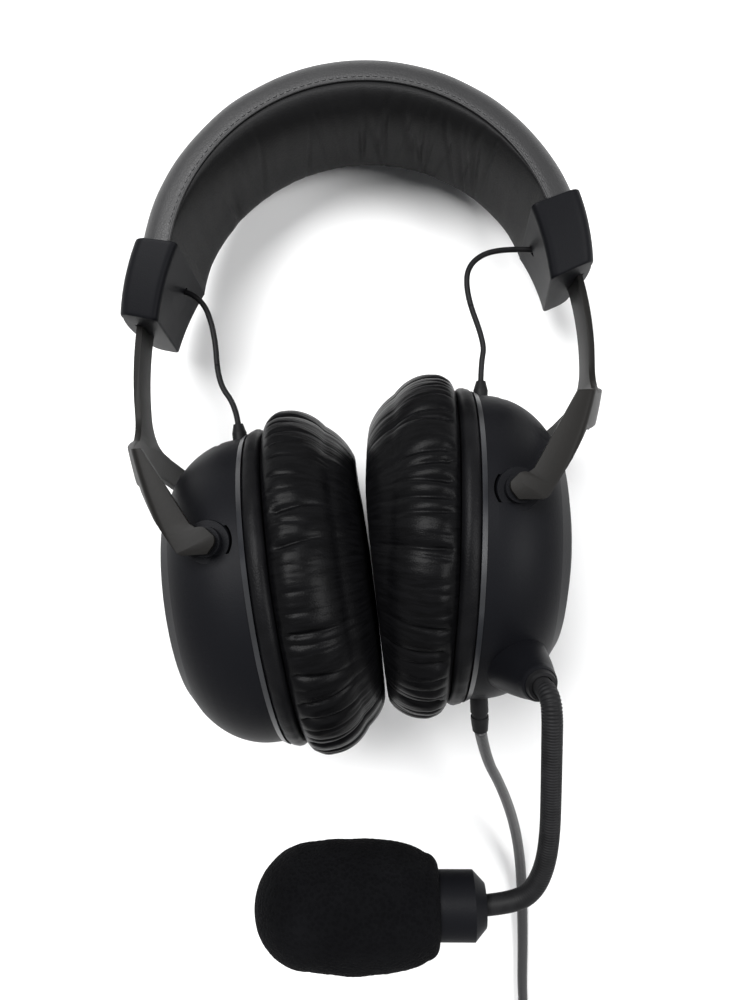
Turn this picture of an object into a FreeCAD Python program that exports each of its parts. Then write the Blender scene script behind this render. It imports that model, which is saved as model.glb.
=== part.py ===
import FreeCAD, Part
import math
import os

os.makedirs("parts", exist_ok=True)
V = FreeCAD.Vector

# The headset is drawn upright: x to its right, y up to the crown, z to its front.
# At the end it is laid on its back, so that z points up from the floor.

# Headband, as radii about the arch centre
band_x = 2.75
arch_y = 70.0
seam_r = 60.7
crown_rise = 12.7
shoulder_rise = 10.9
shoulder_z = 13.8
cover_half = 22.5
cover_wall = 1.4
pad_drop = 12.4
pad_crown_t = 8.2
liner_t = 0.9
spring_t = 1.0
spring_w = 24.0
band_gap = 0.2
cover_from = 12.5
liner_from = 13.5
rivet_angle = 15.2
rivet_z = 9.0
rivet_r = 1.5

# End caps
cap_high = 16.8
cap_proud = 0.5
cap_inside = 0.9
cap_foot_in = (6.3, 63.6)
cap_foot_out = (15.2, 66.4)
cap_bulge = 0.9
cap_wall = 1.8
cap_floor = 2.0
cap_split = 2.2
ridge_low = 12.4
ridge_high = 15.2

# Strips and forks
strip_w = 12.0
strip_t = 2.0
slot_gap = 0.35
exit_out = 14.1
left_exit_out = 13.2
exit_y = 63.5
bend_r = 134.0
bend_y = 45.4
lean = 4.45
free_len = 52.0
held_len = 20.0
travel = 22.2
detent_pitch = 3.7
fork_depth = 48.5
back_r = 120.0
corner_r = 8.0
pivot_in = 30.5
pivot_y = -7.8
pin_r = 2.0
pin_gap = 0.05

# Ear cups, from the rim plane: u outward, v up, w to the front
cup_half_w = 43.5
cup_half_h = 48.8
rim_u = 3.0
shell_u = 22.5
plate_r = 28.8
plate_u = 26.0
dome_u = 30.3
shell_t = 2.0
bevel_t = 1.5
ring_t = 5.5
pad_t = 27.5
pad_half_w = 46.5
pad_half_h = 54.7
ear_w = 21.0
ear_h = 29.0
pivot_u = 8.5
pivot_v = 14.5
boss_r = 6.0
boss_w = 42.0
hub_r = 4.2
cup_tilt = 5.3
tilt_diff = 1.35
meet_x = -5.0
meet_gap = 0.35

# Leads
link_d = 1.9
cord_d = 4.0

# Radii and places that follow from the sizes above
crown_r = seam_r + crown_rise
shoulder_r = seam_r + shoulder_rise
pad_crown_r = seam_r + pad_drop - pad_crown_t
cap_in_r = seam_r - cap_inside
exit_x = seam_r + exit_out
left_exit_x = seam_r + left_exit_out
pivot_x = exit_x - pivot_in


def front(x, y):
    return V(x, y, 0)


def side(z, y):
    return V(0, y, z)


def plan(r, z):
    return V(r, 0, z)


def loop(lift, start, *steps):
    """Closed wire. A step is a point, or a pair of points for an arc."""
    edges, here = [], lift(*start)
    for step in steps:
        if isinstance(step[0], tuple):
            mid, end = lift(*step[0]), lift(*step[1])
            edges.append(Part.Arc(here, mid, end).toShape())
        else:
            end = lift(*step)
            edges.append(Part.makeLine(here, end))
        here = end
    if here.distanceToPoint(lift(*start)) > 1e-6:
        edges.append(Part.makeLine(here, lift(*start)))
    return Part.Wire(edges)


def slab(wire, direction):
    """Straight solid on a closed wire."""
    return Part.Face(wire).extrude(direction)


def swing(wire, centre, low, high):
    """Turn a plan section about an upright z axis, from one angle to another."""
    face = Part.Face(wire)
    face.rotate(V(0, 0, 0), V(0, 0, 1), low)
    solid = face.revolve(V(0, 0, 0), V(0, 0, 1), high - low)
    solid.translate(V(centre[0], centre[1], 0))
    return solid


def oval(wire, stretch):
    """Spin a (u, w) section about the cup's u axis and stretch it upward."""
    solid = Part.Face(wire).revolve(V(0, 0, 0), V(1, 0, 0), 360)
    matrix = FreeCAD.Matrix()
    matrix.scale(1, stretch, 1)
    return solid.transformGeometry(matrix)


def rod(start, end, radius, end_radius=None):
    """Cylinder or cone from one point to another."""
    run = end.sub(start)
    if end_radius is None or abs(end_radius - radius) < 1e-9:
        return Part.makeCylinder(radius, run.Length, start, run)
    return Part.makeCone(radius, end_radius, run.Length, start, run)


def beyond(a, b, c, size=400.0):
    """Half space on the side of the plane a, b, c that its normal points to."""
    normal = (b.sub(a)).cross(c.sub(a))
    normal.normalize()
    turn = FreeCAD.Rotation(V(0, 0, 1), normal)
    box = Part.makeBox(size, size, size, V(-size / 2, -size / 2, 0))
    box.Placement = FreeCAD.Placement(a, turn)
    return box


def largest(shape):
    return max(shape.Solids, key=lambda solid: solid.Volume)


def mirrored(shape):
    return shape.mirror(V(0, 0, 0), V(1, 0, 0))


# Strip and fork geometry of each side
exit_turn = math.degrees(math.asin((exit_y - bend_y) / bend_r))
lean_rad = math.radians(lean)


class Limb:
    """Where a side's strip, fork and cup sit. x points outward here on both sides."""

    def __init__(self, name, lean_sign, extra_turn, out_x, reach_in):
        self.name = name
        self.reach_in = reach_in
        self.sign = 1 if name == "right" else -1
        self.turn = exit_turn + extra_turn
        bend = lean_sign * (lean_rad - math.radians(extra_turn)) / free_len
        self.radius = 1.0 / (1.0 / bend_r - bend)
        t = math.radians(self.turn)
        self.centre = (out_x - self.radius * math.cos(t), exit_y - self.radius * math.sin(t))
        self.lean = lean_sign * lean
        self.tilt = cup_tilt - lean_sign * lean + lean_sign * tilt_diff
        base_end = self.on_arc(exit_x, bend_r, exit_turn, -free_len)
        side_end = self.on_arc(out_x, self.radius, self.turn, -free_len)
        self.base_end, self.side_end = base_end, side_end
        self.pivot = self.moved(V(pivot_x - reach_in, pivot_y, 0))

    def on_arc(self, out_x, radius, turn, along):
        t = math.radians(turn)
        cx, cy = out_x - radius * math.cos(t), exit_y - radius * math.sin(t)
        a = t + along / radius
        return V(cx + radius * math.cos(a), cy + radius * math.sin(a), 0)

    def moved(self, thing):
        """Carry a point or shape from the unsprung limb to the leaning one."""
        if isinstance(thing, FreeCAD.Vector):
            spin = FreeCAD.Rotation(V(0, 0, 1), self.lean)
            return spin.multVec(thing.sub(self.base_end)).add(self.side_end)
        shape = thing.copy()
        shape.translate(V(-self.base_end.x, -self.base_end.y, 0))
        shape.rotate(V(0, 0, 0), V(0, 0, 1), self.lean)
        shape.translate(self.side_end)
        return shape

    def cup_point(self, u, v, w):
        spin = FreeCAD.Rotation(V(0, 0, 1), -self.tilt)
        at = spin.multVec(V(u - pivot_u, v - pivot_v, 0)).add(self.pivot)
        return V(self.sign * at.x, at.y, w)

    def cup(self, shape):
        """Place a shape drawn in cup directions on this side."""
        out = shape.copy()
        out.translate(V(-pivot_u, -pivot_v, 0))
        out.rotate(V(0, 0, 0), V(0, 0, 1), -self.tilt)
        out.translate(self.pivot)
        return out if self.sign > 0 else mirrored(out)

    def limb(self, shape):
        return shape if self.sign > 0 else mirrored(shape)


left = Limb("left", 1, 3.5, left_exit_x, 0.0)
right = Limb("right", -1, -0.9, exit_x, 2.0)
parts = {}


def cup_section(u, w):
    return V(u, 0, w)


def polar(radius, angle, z=0.0):
    """Point of the headband, by radius and angle above the arch centre."""
    t = math.radians(angle)
    return V(band_x + radius * math.cos(t), arch_y + radius * math.sin(t), z)


def along(a, b, t):
    """Point at a distance t from a towards b."""
    d = b.sub(a)
    d.normalize()
    return a.add(d.multiply(t))


def tangent_arc(start, heading, end):
    """Arc that leaves start along heading and reaches end."""
    chord = end.sub(start)
    normal = chord.sub(V(heading).multiply(chord.dot(heading)))
    normal.normalize()
    radius = chord.Length ** 2 / (2 * chord.dot(normal))
    centre = start.add(normal.multiply(radius))
    middle = start.sub(centre).add(end.sub(centre))
    middle.normalize()
    return Part.Arc(start, centre.add(middle.multiply(radius)), end).toShape()


def rounded(points, share=0.45, radii=None):
    """Wire through the points with a tangent arc at each corner, and its radii."""
    edges, here, used = [], points[0], []
    for i in range(1, len(points) - 1):
        back, ahead = points[i - 1].sub(points[i]), points[i + 1].sub(points[i])
        half = (math.pi - back.getAngle(ahead)) / 2
        reach = share * min(back.Length, ahead.Length)
        if radii:
            reach = radii[i - 1] * math.tan(half)
        a, b = along(points[i], points[i - 1], reach), along(points[i], points[i + 1], reach)
        edges.append(Part.makeLine(here, a))
        edges.append(tangent_arc(a, V(back).normalize().multiply(-1), b))
        used.append(reach / math.tan(half))
        here = b
    edges.append(Part.makeLine(here, points[-1]))
    return Part.Wire(edges), used


def tube(path, diameter):
    """Round tube along a wire."""
    first = path.Edges[0]
    start = first.valueAt(first.FirstParameter)
    heading = first.tangentAt(first.FirstParameter)
    ring = Part.Wire(Part.makeCircle(diameter / 2, start, heading))
    return path.makePipeShell([ring], True, False)


def turned(start, end, *steps):
    """Solid of revolution about the line from start to end. Steps are (distance, radius)."""
    solid = Part.Face(loop(cup_section, *steps)).revolve(V(0, 0, 0), V(1, 0, 0), 360)
    solid.Placement = FreeCAD.Placement(start, FreeCAD.Rotation(V(1, 0, 0), end.sub(start)))
    return solid


# Headband
def arch_section(low, inset=0.0):
    """Cover section, closed at radius low and drawn in by inset."""
    half, top = cover_half - inset, crown_r - inset
    edge, edge_z = shoulder_r - inset, shoulder_z - 0.4 * inset
    flank, mid, mid_z = seam_r + 3.5, edge - 2.8, edge_z + 5.9
    return loop(plan, (low, half), (flank, half), ((mid, mid_z), (edge, edge_z)),
                ((top, 0), (edge, -edge_z)), ((mid, -mid_z), (flank, -half)), (low, -half))


def arch(wire, start, drop=0.0):
    return swing(wire, (band_x, arch_y - drop), start, 180 - start)


def strap(inner, thickness, half):
    return loop(plan, (inner, half), (inner + thickness, half), (inner + thickness, -half), (inner, -half))


inner_half = cover_half - cover_wall
liner_in = seam_r + 0.4
spring_in = liner_in + liner_t
liner_half = inner_half - band_gap

cover = arch(arch_section(seam_r), cover_from).cut(arch(arch_section(seam_r - 1, cover_wall), cover_from - 1))
pad_top = liner_in - band_gap / 2
pad_section = loop(plan, (pad_top, liner_half), (seam_r - band_gap, liner_half), (seam_r - band_gap, cover_half),
                   (pad_crown_r - 14, cover_half), (pad_crown_r - 14, -cover_half), (seam_r - band_gap, -cover_half),
                   (seam_r - band_gap, -liner_half), (pad_top, -liner_half))
pad_room = loop(plan, (10, 40), (pad_crown_r + 9, 40), (pad_crown_r + 9, cover_half),
                ((pad_crown_r + 3.2, cover_half - 0.8), (pad_crown_r + 1.2, cover_half - 4.0)),
                ((pad_crown_r, 0), (pad_crown_r + 1.2, -cover_half + 4.0)),
                ((pad_crown_r + 3.2, -cover_half + 0.8), (pad_crown_r + 9, -cover_half)), (pad_crown_r + 9, -40),
                (10, -40))
band_pad = arch(pad_section, cap_high + 0.3).cut(arch(pad_room, -5, pad_drop))
liner = arch(strap(liner_in, liner_t, liner_half), liner_from)
spring = arch(strap(spring_in, spring_t, spring_w / 2), liner_from)
rivets = []
for sign in (1, -1):
    for z in (rivet_z, -rivet_z):
        def spot(radius):
            at = polar(radius, rivet_angle, z)
            return V(band_x + sign * (at.x - band_x), at.y, at.z)
        shank = rod(spot(liner_in), spot(spring_in + spring_t), rivet_r)
        heads = rod(spot(liner_in - 0.6), spot(liner_in), rivet_r + 0.8)
        heads = heads.fuse(rod(spot(spring_in + spring_t), spot(spring_in + spring_t + 0.6), rivet_r + 0.8))
        rivet = shank.fuse(heads)
        liner = liner.cut(rivet)
        spring = spring.cut(rivet)
        band_pad = band_pad.cut(rivet)
        rivets.append(rivet)
parts["headband_cover"] = cover
parts["headband_pad"] = band_pad
parts["headband_liner"] = liner
parts["headband_spring"] = spring
parts["band_rivets"] = Part.makeCompound(rivets)


# End caps
def cap_stations(limb):
    """Inner and outer points of the cap's foot, middle and top, with each ridge height."""
    bx = limb.sign * band_x
    t = math.radians(cap_high)
    top_in = V(bx + cap_in_r * math.cos(t), arch_y + cap_in_r * math.sin(t), 0)
    outer_r = shoulder_r + cap_proud
    top_out = V(bx + outer_r * math.cos(t), arch_y + outer_r * math.sin(t), 0)
    foot_in = V(seam_r + cap_foot_in[0], cap_foot_in[1], 0)
    foot_out = V(seam_r + cap_foot_out[0], cap_foot_out[1], 0)
    swell = foot_out.sub(foot_in).normalize().multiply(cap_bulge)
    mid_in, mid_out = foot_in.add(top_in).multiply(0.5).add(swell), foot_out.add(top_out).multiply(0.5).add(swell)
    return [(foot_in, foot_out, ridge_low), (mid_in, mid_out, (ridge_low + ridge_high) / 2),
            (top_in, top_out, ridge_high)]


def cap_form(limb, inset, reach=0.0):
    """Outer form of an end cap drawn in by inset. A reach makes the inner zone of that depth instead."""
    wires = []
    for low, high, ridge in cap_stations(limb):
        out = high.sub(low)
        size = out.Length
        out.normalize()

        def place(t, z):
            at = low.add(V(out).multiply(t))
            return V(at.x, at.y, z)

        if reach:
            wires.append(loop(place, (-6, 40), (reach, 40), (reach, -40), (-6, -40)))
            continue
        half, edge, edge_z = cover_half + cap_proud - inset, size - inset, shoulder_z - 0.4 * inset
        wires.append(loop(place, (inset, ridge - 0.7 * inset), (3.8, half),
                          ((edge - 2.4, edge_z + 5.6), (edge, edge_z)), ((edge + 1.9, 0), (edge, -edge_z)),
                          ((edge - 2.4, -edge_z - 5.6), (3.8, -half)), (inset, -ridge + 0.7 * inset)))
    return Part.makeLoft(wires, True, False)


def cap_end(limb, index, depth):
    """Everything past one end station of the cap, moved in by depth."""
    stations = cap_stations(limb)
    low, high = stations[index][0], stations[index][1]
    inward = stations[1][0].sub(low)
    across = high.sub(low)
    normal = V(-across.y, across.x, 0).normalize()
    if normal.dot(inward) < 0:
        normal.multiply(-1)
    low, high = low.add(V(normal).multiply(depth)), high.add(V(normal).multiply(depth))
    upright = V(low.x, low.y, 10)
    if high.sub(low).cross(upright.sub(low)).dot(normal) > 0:
        return beyond(low, upright, high)
    return beyond(low, high, upright)


def strip_slot(limb):
    r = limb.radius
    wire = loop(plan, (r - strip_t - slot_gap, strip_w / 2 + slot_gap), (r + slot_gap, strip_w / 2 + slot_gap),
                (r + slot_gap, -strip_w / 2 - slot_gap), (r - strip_t - slot_gap, -strip_w / 2 - slot_gap))
    reach = math.degrees((held_len + travel + 2) / r)
    return swing(wire, limb.centre, limb.turn - 8, limb.turn + reach)


lead_share = 0.35
lead_z = -3.0


def lead_spot(limb, depth):
    """Where a link lead passes the inner face of the cap."""
    stations = cap_stations(limb)
    face = stations[2][0].multiply(1 - lead_share).add(stations[0][0].multiply(lead_share))
    out = stations[1][1].sub(stations[1][0]).normalize()
    at = face.add(out.multiply(depth))
    return V(at.x, at.y, lead_z)


def station(limb, up, depth):
    """Point on the strip, up from the exit and outward from its outer face."""
    t = math.radians(limb.turn) + up / limb.radius
    r = limb.radius + depth
    return V(limb.centre[0] + r * math.cos(t), limb.centre[1] + r * math.sin(t), 0)


leaves = []
for limb in (left, right):
    room = cap_form(limb, cap_wall).cut(cap_end(limb, 0, cap_floor)).cut(cap_end(limb, 2, cap_wall))
    sleeve = swing(arch_section(seam_r - 0.1, -0.05), (limb.sign * band_x, arch_y), cover_from - 0.3, cap_high + 4)
    block = cap_form(limb, 0.0).cut(room).cut(sleeve).cut(strip_slot(limb))
    for rivet in rivets:
        block = block.cut(limb.limb(rivet))
    pocket = loop(front, *[(p.x, p.y) for p in (station(limb, 3.0, -strip_t), station(limb, 13.0, -strip_t),
                                                station(limb, 13.0, -strip_t - 2.8), station(limb, 3.0, -strip_t - 2.8))])
    pocket.translate(V(0, 0, -strip_w / 3 - 0.3))
    block = block.cut(slab(pocket, V(0, 0, 2 * strip_w / 3 + 0.6)))
    parts["headband_cover"] = parts["headband_cover"].cut(limb.limb(strip_slot(limb)))
    inner_zone = cap_form(limb, 0.0, cap_split)
    lead_hole = rod(lead_spot(limb, -4), lead_spot(limb, 5), link_d / 2 + 0.3)
    parts[limb.name + "_cap_outer"] = limb.limb(largest(block.cut(inner_zone)))
    parts[limb.name + "_cap_inner"] = limb.limb(largest(block.common(inner_zone).cut(lead_hole)))

    a, b, c = station(limb, 3.5, -strip_t - 2.0), station(limb, 8.0, -strip_t - 0.1), station(limb, 12.5, -strip_t - 2.0)
    d, e, f = station(limb, 12.5, -strip_t - 2.5), station(limb, 8.0, -strip_t - 0.6), station(limb, 3.5, -strip_t - 2.5)
    leaf = loop(front, (a.x, a.y), ((b.x, b.y), (c.x, c.y)), (d.x, d.y), ((e.x, e.y), (f.x, f.y)))
    leaf.translate(V(0, 0, -strip_w / 3))
    leaves.append(limb.limb(slab(leaf, V(0, 0, 2 * strip_w / 3))))
parts["detent_springs"] = Part.makeCompound(leaves)


# Strips and forks
def fork_wall(limb):
    """Strip and fork sheet: a C in plan, carried along the strip's own curve."""
    r = limb.radius
    turn = math.asin((fork_depth - corner_r) / (back_r - corner_r))
    cx = r - back_r
    kx, kz = cx + (back_r - corner_r) * math.cos(turn), (back_r - corner_r) * math.sin(turn)
    middle = (turn + math.pi / 2) / 2

    def half(inset, sign):
        b, k = back_r - inset, corner_r - inset
        return ((kx, sign * (kz + k)),
                (kx + k * math.cos(middle), sign * (kz + k * math.sin(middle))),
                (cx + b * math.cos(turn), sign * b * math.sin(turn)))

    up, down = half(0, 1), half(0, -1)
    up_in, down_in = half(strip_t, 1), half(strip_t, -1)
    end = kx - 20.0
    wire = loop(plan, (end, up[0][1]), up[0], (up[1], up[2]), ((r, 0), down[2]), (down[1], down[0]),
                (end, down[0][1]), (end, down_in[0][1]), down_in[0], (down_in[1], down_in[2]),
                ((r - strip_t, 0), up_in[2]), (up_in[1], up_in[0]), (end, up_in[0][1]))
    top = limb.turn + math.degrees(held_len / r)
    return swing(wire, limb.centre, -52, top)


def fork_side():
    """Side outline: straight strip, then two wings that fall to the arms."""
    w = strip_w / 2
    wire = loop(side, (w, 130), (w, 31.5), ((8.4, 27.8), (13.5, 25.2)), ((28.0, 20.4), (41.0, 15.8)), (60, 15.8),
                (60, -30), (42.2, -30), (42.2, 8.0), ((28.0, 11.6), (14.0, 14.9)), ((0, 16.4), (-14.0, 14.9)),
                ((-28.0, 11.6), (-42.2, 8.0)), (-42.2, -30), (-60, -30), (-60, 15.8), (-41.0, 15.8),
                ((-28.0, 20.4), (-13.5, 25.2)), ((-8.4, 27.8), (-w, 31.5)), (-w, 130))
    wire.translate(V(15, 0, 0))
    return slab(wire, V(110, 0, 0))


def fork_front(reach_in):
    """Front outline from the pivot: two straight edged arms with a rounded end."""
    wire = loop(front, (90, 140), (13.6, 140), (13.6, 21.5), (8.0, 12.0), (3.4, 5.4), ((1.6, 4.2), (-0.4, 4.2)),
                ((-4.4, 0), (-0.2, -4.4)), (5.0, -4.4), ((7.4, -3.4), (9.0, -1.2)), (13.7, 6.0), (18.6, 15.6), (90, 11))
    wire.translate(V(pivot_x - reach_in, pivot_y, -60))
    return slab(wire, V(0, 0, 120))


for limb in (left, right):
    fork = fork_wall(limb).common(limb.moved(fork_side())).common(limb.moved(fork_front(limb.reach_in)))
    at = limb.pivot
    pins = []
    for sign in (1, -1):
        inner, outer = sign * (fork_depth - strip_t - 13.0), sign * fork_depth
        pin = rod(V(at.x, at.y, inner), V(at.x, at.y, outer), pin_r)
        fork = fork.cut(pin)
        pins.append(pin)
    count = int((held_len + travel - 4.0) / detent_pitch)
    for i in range(count):
        t = math.radians(limb.turn) + (8.0 - i * detent_pitch) / limb.radius
        arm = V(math.cos(t), math.sin(t), 0)
        foot = V(limb.centre[0], limb.centre[1], 0).add(V(arm).multiply(limb.radius - strip_t - 1))
        fork = fork.cut(rod(foot, foot.add(V(arm).multiply(1.7)), 1.0))
    shank = rod(station(limb, 13.5, -strip_t), station(limb, 13.5, 0), 1.2)
    stop = shank.fuse(rod(station(limb, 13.5, -strip_t - 1.0), station(limb, 13.5, -strip_t), 2.4))
    parts[limb.name + "_fork"] = limb.limb(fork.cut(stop))
    parts[limb.name + "_strip_stop"] = limb.limb(stop)
    parts[limb.name + "_pivot_pins"] = limb.limb(Part.makeCompound(pins))


# Ear cups
stretch = cup_half_h / cup_half_w
pad_stretch = pad_half_h / pad_half_w
driver_r = 20.0
post_v = 30.0
post_w = 26.0
post_r = 3.2
screw_r = 1.4
keeper_half = 4.0
boot_u = 2.6
slit_u = 8.4

outer = oval(loop(cup_section, (0, 0), (0, cup_half_w), (rim_u, cup_half_w), ((13.3, 41.2), (shell_u, 34.2)),
                  (plate_u, plate_r + 0.4), (plate_u, 0)), stretch)
room = oval(loop(cup_section, (-1, 0), (-1, cup_half_w - shell_t), (rim_u, cup_half_w - shell_t),
                 ((12.5, 39.4), (shell_u - 1.5, 32.8)), (plate_u - 3, plate_r - 1.5), (plate_u - 3, 0)), stretch)
seat = oval(loop(cup_section, (plate_u - 1.2, 0), (plate_u - 1.2, plate_r - 0.6), (plate_u + 1, plate_r - 0.6),
                 (plate_u + 1, 0)), stretch)
shell = outer.cut(room).cut(seat)
keepers = []
for sign in (1, -1):
    def at_pivot(w):
        return V(pivot_u, pivot_v, sign * w)
    bearing = rod(at_pivot(33.5), at_pivot(boss_w), boss_r + 0.8, boss_r)
    bearing = bearing.fuse(rod(at_pivot(boss_w), at_pivot(fork_depth - strip_t - 1.0), hub_r))
    block = Part.makeBox(pivot_u + 2, 2 * keeper_half, 14, V(-0.5, pivot_v - keeper_half, 33 if sign > 0 else -47))
    keeper = outer.common(block).cut(room).cut(rod(at_pivot(30), at_pivot(50), boss_r + 0.8))
    keepers.append(keeper.common(Part.makeBox(pivot_u - 1, 60, 120, V(0, -10, -60))))
    shell = shell.cut(block.common(Part.makeBox(pivot_u, 60, 120, V(-1, -10, -60)))).fuse(bearing)
    shell = shell.cut(rod(at_pivot(30), at_pivot(50), pin_r + pin_gap))
posts, screws = [], []
for v in (post_v, -post_v):
    for w in (post_w, -post_w):
        post = rod(V(0.2, v, w), V(22, v, w), post_r).common(outer)
        shell = shell.fuse(post).cut(rod(V(-1, v, w), V(9, v, w), screw_r))
        screws.append(rod(V(-bevel_t + 0.9, v, w), V(9, v, w), screw_r).fuse(
            rod(V(-bevel_t, v, w), V(-bevel_t + 0.9, v, w), 2.7)))
slit = Part.makeBox(2.4, 12, 9, V(slit_u - 1.2, 38, 4))
shell = shell.cut(slit)
mesh = outer.common(Part.makeBox(2.4, 12, 9, V(slit_u - 1.2, 38, 4))).cut(room)
mesh = mesh.cut(outer.cut(oval(loop(cup_section, (-2, 0), (-2, cup_half_w - 1), (rim_u, cup_half_w - 1),
                                    ((12.9, 40.3), (shell_u - 0.8, 33.5)), (plate_u - 1, plate_r), (plate_u - 1, 0)),
                               stretch)))
boot_hole = rod(V(boot_u, 40, 0), V(boot_u, 56, 0), 2.4)
shell = shell.cut(boot_hole)
shell = shell.removeSplitter()

plate = oval(loop(cup_section, (plate_u - 1.2, 0), (plate_u - 1.2, plate_r - 0.8), (plate_u + 0.1, plate_r - 0.8),
                  ((dome_u - 0.9, 16.0), (dome_u, 0))), stretch)
baffle = oval(loop(cup_section, (-bevel_t, 12), (-bevel_t, cup_half_w + 1.1), (0, cup_half_w + 0.4),
                   (0, cup_half_w - shell_t - 0.2), (1.6, cup_half_w - shell_t - 0.2),
                   (1.6, cup_half_w - shell_t - 2.4), (0, cup_half_w - shell_t - 2.4), (0, 12)), stretch)
baffle = baffle.cut(rod(V(-3, 0, 0), V(3, 0, 0), driver_r))
for screw in screws:
    baffle = baffle.cut(screw)
for v in (post_v, -post_v):
    for w in (post_w, -post_w):
        baffle = baffle.cut(rod(V(0, v, w), V(5, v, w), post_r + 0.2))
ring_in = 31.0
pad_ring = oval(loop(cup_section, (-bevel_t, ring_in), (-bevel_t, cup_half_w + 1.5), (-bevel_t - 0.8, cup_half_w + 2.1),
                     (-bevel_t - ring_t + 0.8, cup_half_w + 2.1), (-bevel_t - ring_t, cup_half_w + 1.3),
                     (-bevel_t - ring_t, ring_in)), stretch)
back_u = -bevel_t - ring_t
face_u = back_u - pad_t
h = pad_half_w
pad = oval(loop(cup_section, (back_u, ear_w + 2.4), (back_u, h - 3.2), ((back_u - 2.2, h - 0.9), (back_u - 6.5, h - 0.1)),
                ((back_u - 11.0, h), (back_u - 15.5, h - 0.5)), ((face_u + 3.6, h - 4.0), (face_u + 0.8, h - 10.0)),
                ((face_u, h - 14.0), (face_u + 1.3, h - 18.5)), ((face_u + 3.6, h - 21.5), (face_u + 8.5, ear_w + 2.4))),
           pad_stretch)
cloth = oval(loop(cup_section, (-bevel_t - 0.7, 0), (-bevel_t - 0.7, ring_in - 0.3), (-bevel_t, ring_in - 0.3),
                  (-bevel_t, 0)), stretch)
foam = oval(loop(cup_section, (15, 0), (15, 30.5), (19, 29.5), (19, 0)), stretch)
for v in (post_v, -post_v):
    for w in (post_w, -post_w):
        foam = foam.cut(rod(V(10, v, w), V(24, v, w), post_r + 0.2))

origin, outward = V(0, 0, 0), V(1, 0, 0)
basket = turned(origin, outward, (-bevel_t, 0), (-bevel_t, driver_r), (0.8, driver_r), (0.8, 18.0),
                ((3.0, 15.5), (4.5, 12.0)), (10.0, 12.0), (10.0, 0))
hollow = turned(origin, outward, (-bevel_t + 0.8, 0), (-bevel_t + 0.8, 17.5), (0.5, 17.0), (3.6, 11.4), (3.6, 0))
magnet = rod(V(10.0, 0, 0), V(14.5, 0, 0), 10.5)
grille = []
for i in range(8):
    t = i * math.pi / 4
    grille.append(rod(V(-3, 11 * math.cos(t), 11 * math.sin(t)), V(0, 11 * math.cos(t), 11 * math.sin(t)), 2.0))
basket = basket.fuse(magnet).cut(hollow)
for hole in grille:
    basket = basket.cut(hole)
cone = turned(origin, outward, (1.6, 0), (1.2, 5.0), (-0.2, 16.6), (0.1, 16.6), (1.6, 5.4), (2.0, 0))

for limb in (left, right):
    boot_foot = (cup_half_w - shell_t) * stretch + 0.2
    boot = rod(V(boot_u, boot_foot, 0), V(boot_u, 51.5, 0), 2.4)
    boot = boot.fuse(rod(V(boot_u, 51.5, 0), V(boot_u, 54.5, 0), 2.4, 1.6))
    soft = limb.cup(pad)
    face_x = meet_x + limb.sign * meet_gap
    keep = Part.makeBox(200, 300, 200, V(face_x if limb.sign > 0 else face_x - 200, -200, -100))
    parts[limb.name + "_pad"] = soft.common(keep)
    for word, shape in (("shell", shell), ("outer_plate", plate), ("baffle", baffle), ("pad_ring", pad_ring),
                        ("ear_cloth", cloth), ("damping_foam", foam), ("driver_basket", basket),
                        ("driver_cone", cone), ("vent_mesh", mesh),
                        ("cable_boot", boot), ("pivot_keepers", Part.makeCompound(keepers)),
                        ("cup_screws", Part.makeCompound(screws))):
        parts[limb.name + "_" + word] = limb.cup(shape)


# Boom and microphone, on the right cup
def by_pivot(x, y, z):
    """Point of the boom, measured from the right cup's pivot."""
    return V(right.pivot.x + x, right.pivot.y + y, z)


neck_d = 5.5
neck_room = 0.25
neck_bend_r = 6.0
socket_foot = by_pivot(-4.07, -48.61, 27.0)
socket_mouth = by_pivot(-1.47, -52.41, 44.5)
mic_start = by_pivot(-21.87, -112.01, 31.2)
mic_end = by_pivot(-88.17, -105.21, 29.8)
collar_r = 8.9
collar_len = 12.6
capsule_r = 7.8
muff_r = 15.8
muff_end = 47.6

axis_len = socket_mouth.sub(socket_foot).Length
socket = turned(socket_foot, socket_mouth, (-8, 0), (-8, 10.5), ((4, 8.4), (axis_len - 3, 5.5)),
                (axis_len - 0.8, 5.0), (axis_len, 4.6), (axis_len, 0))
socket = socket.cut(rod(along(socket_mouth, socket_foot, 8), along(socket_mouth, socket_foot, -1),
                        neck_d / 2 + neck_room))
socket = max(socket.cut(right.cup(outer)).Solids, key=lambda solid: solid.CenterOfMass.z)
ferrule = rod(along(socket_mouth, socket_foot, -0.1), along(socket_mouth, socket_foot, -1.5), 4.3, 3.9)
neck_points = [along(socket_mouth, socket_foot, 7.5), along(socket_mouth, socket_foot, -1.1 * neck_bend_r),
               by_pivot(-2.27, -79.01, 44.6), by_pivot(-3.87, -98.01, 36.8), by_pivot(-11.67, -112.51, 31.8),
               mic_start]
neck_path, neck_radii = rounded(neck_points, radii=[neck_bend_r, 60.0, 26.0, 16.0])
neck = tube(neck_path, neck_d)
neck_way = tube(neck_path, neck_d + 2 * neck_room)
socket, ferrule = socket.cut(neck_way), largest(ferrule.cut(neck_way))
mic_dir = mic_end.sub(mic_start)
mic_dir.normalize()
collar = turned(mic_start, mic_end, (0, 0), (0, 5.6), (3.2, collar_r), (collar_len, collar_r), (collar_len, 0))
capsule = turned(mic_start, mic_end, (collar_len, 0), (collar_len, capsule_r), (collar_len + 34, capsule_r),
                 (collar_len + 36, capsule_r - 2), (collar_len + 36, 0))
nose = muff_r * math.sqrt(0.5)
muff = turned(mic_start, mic_end, (collar_len, 0), (collar_len, 9.6), ((16.0, 13.0), (22.0, 15.4)),
              ((35.0, 16.7), (muff_end, muff_r)), ((muff_end + nose, nose), (muff_end + muff_r, 0)))
parts["boom_socket"] = socket
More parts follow.
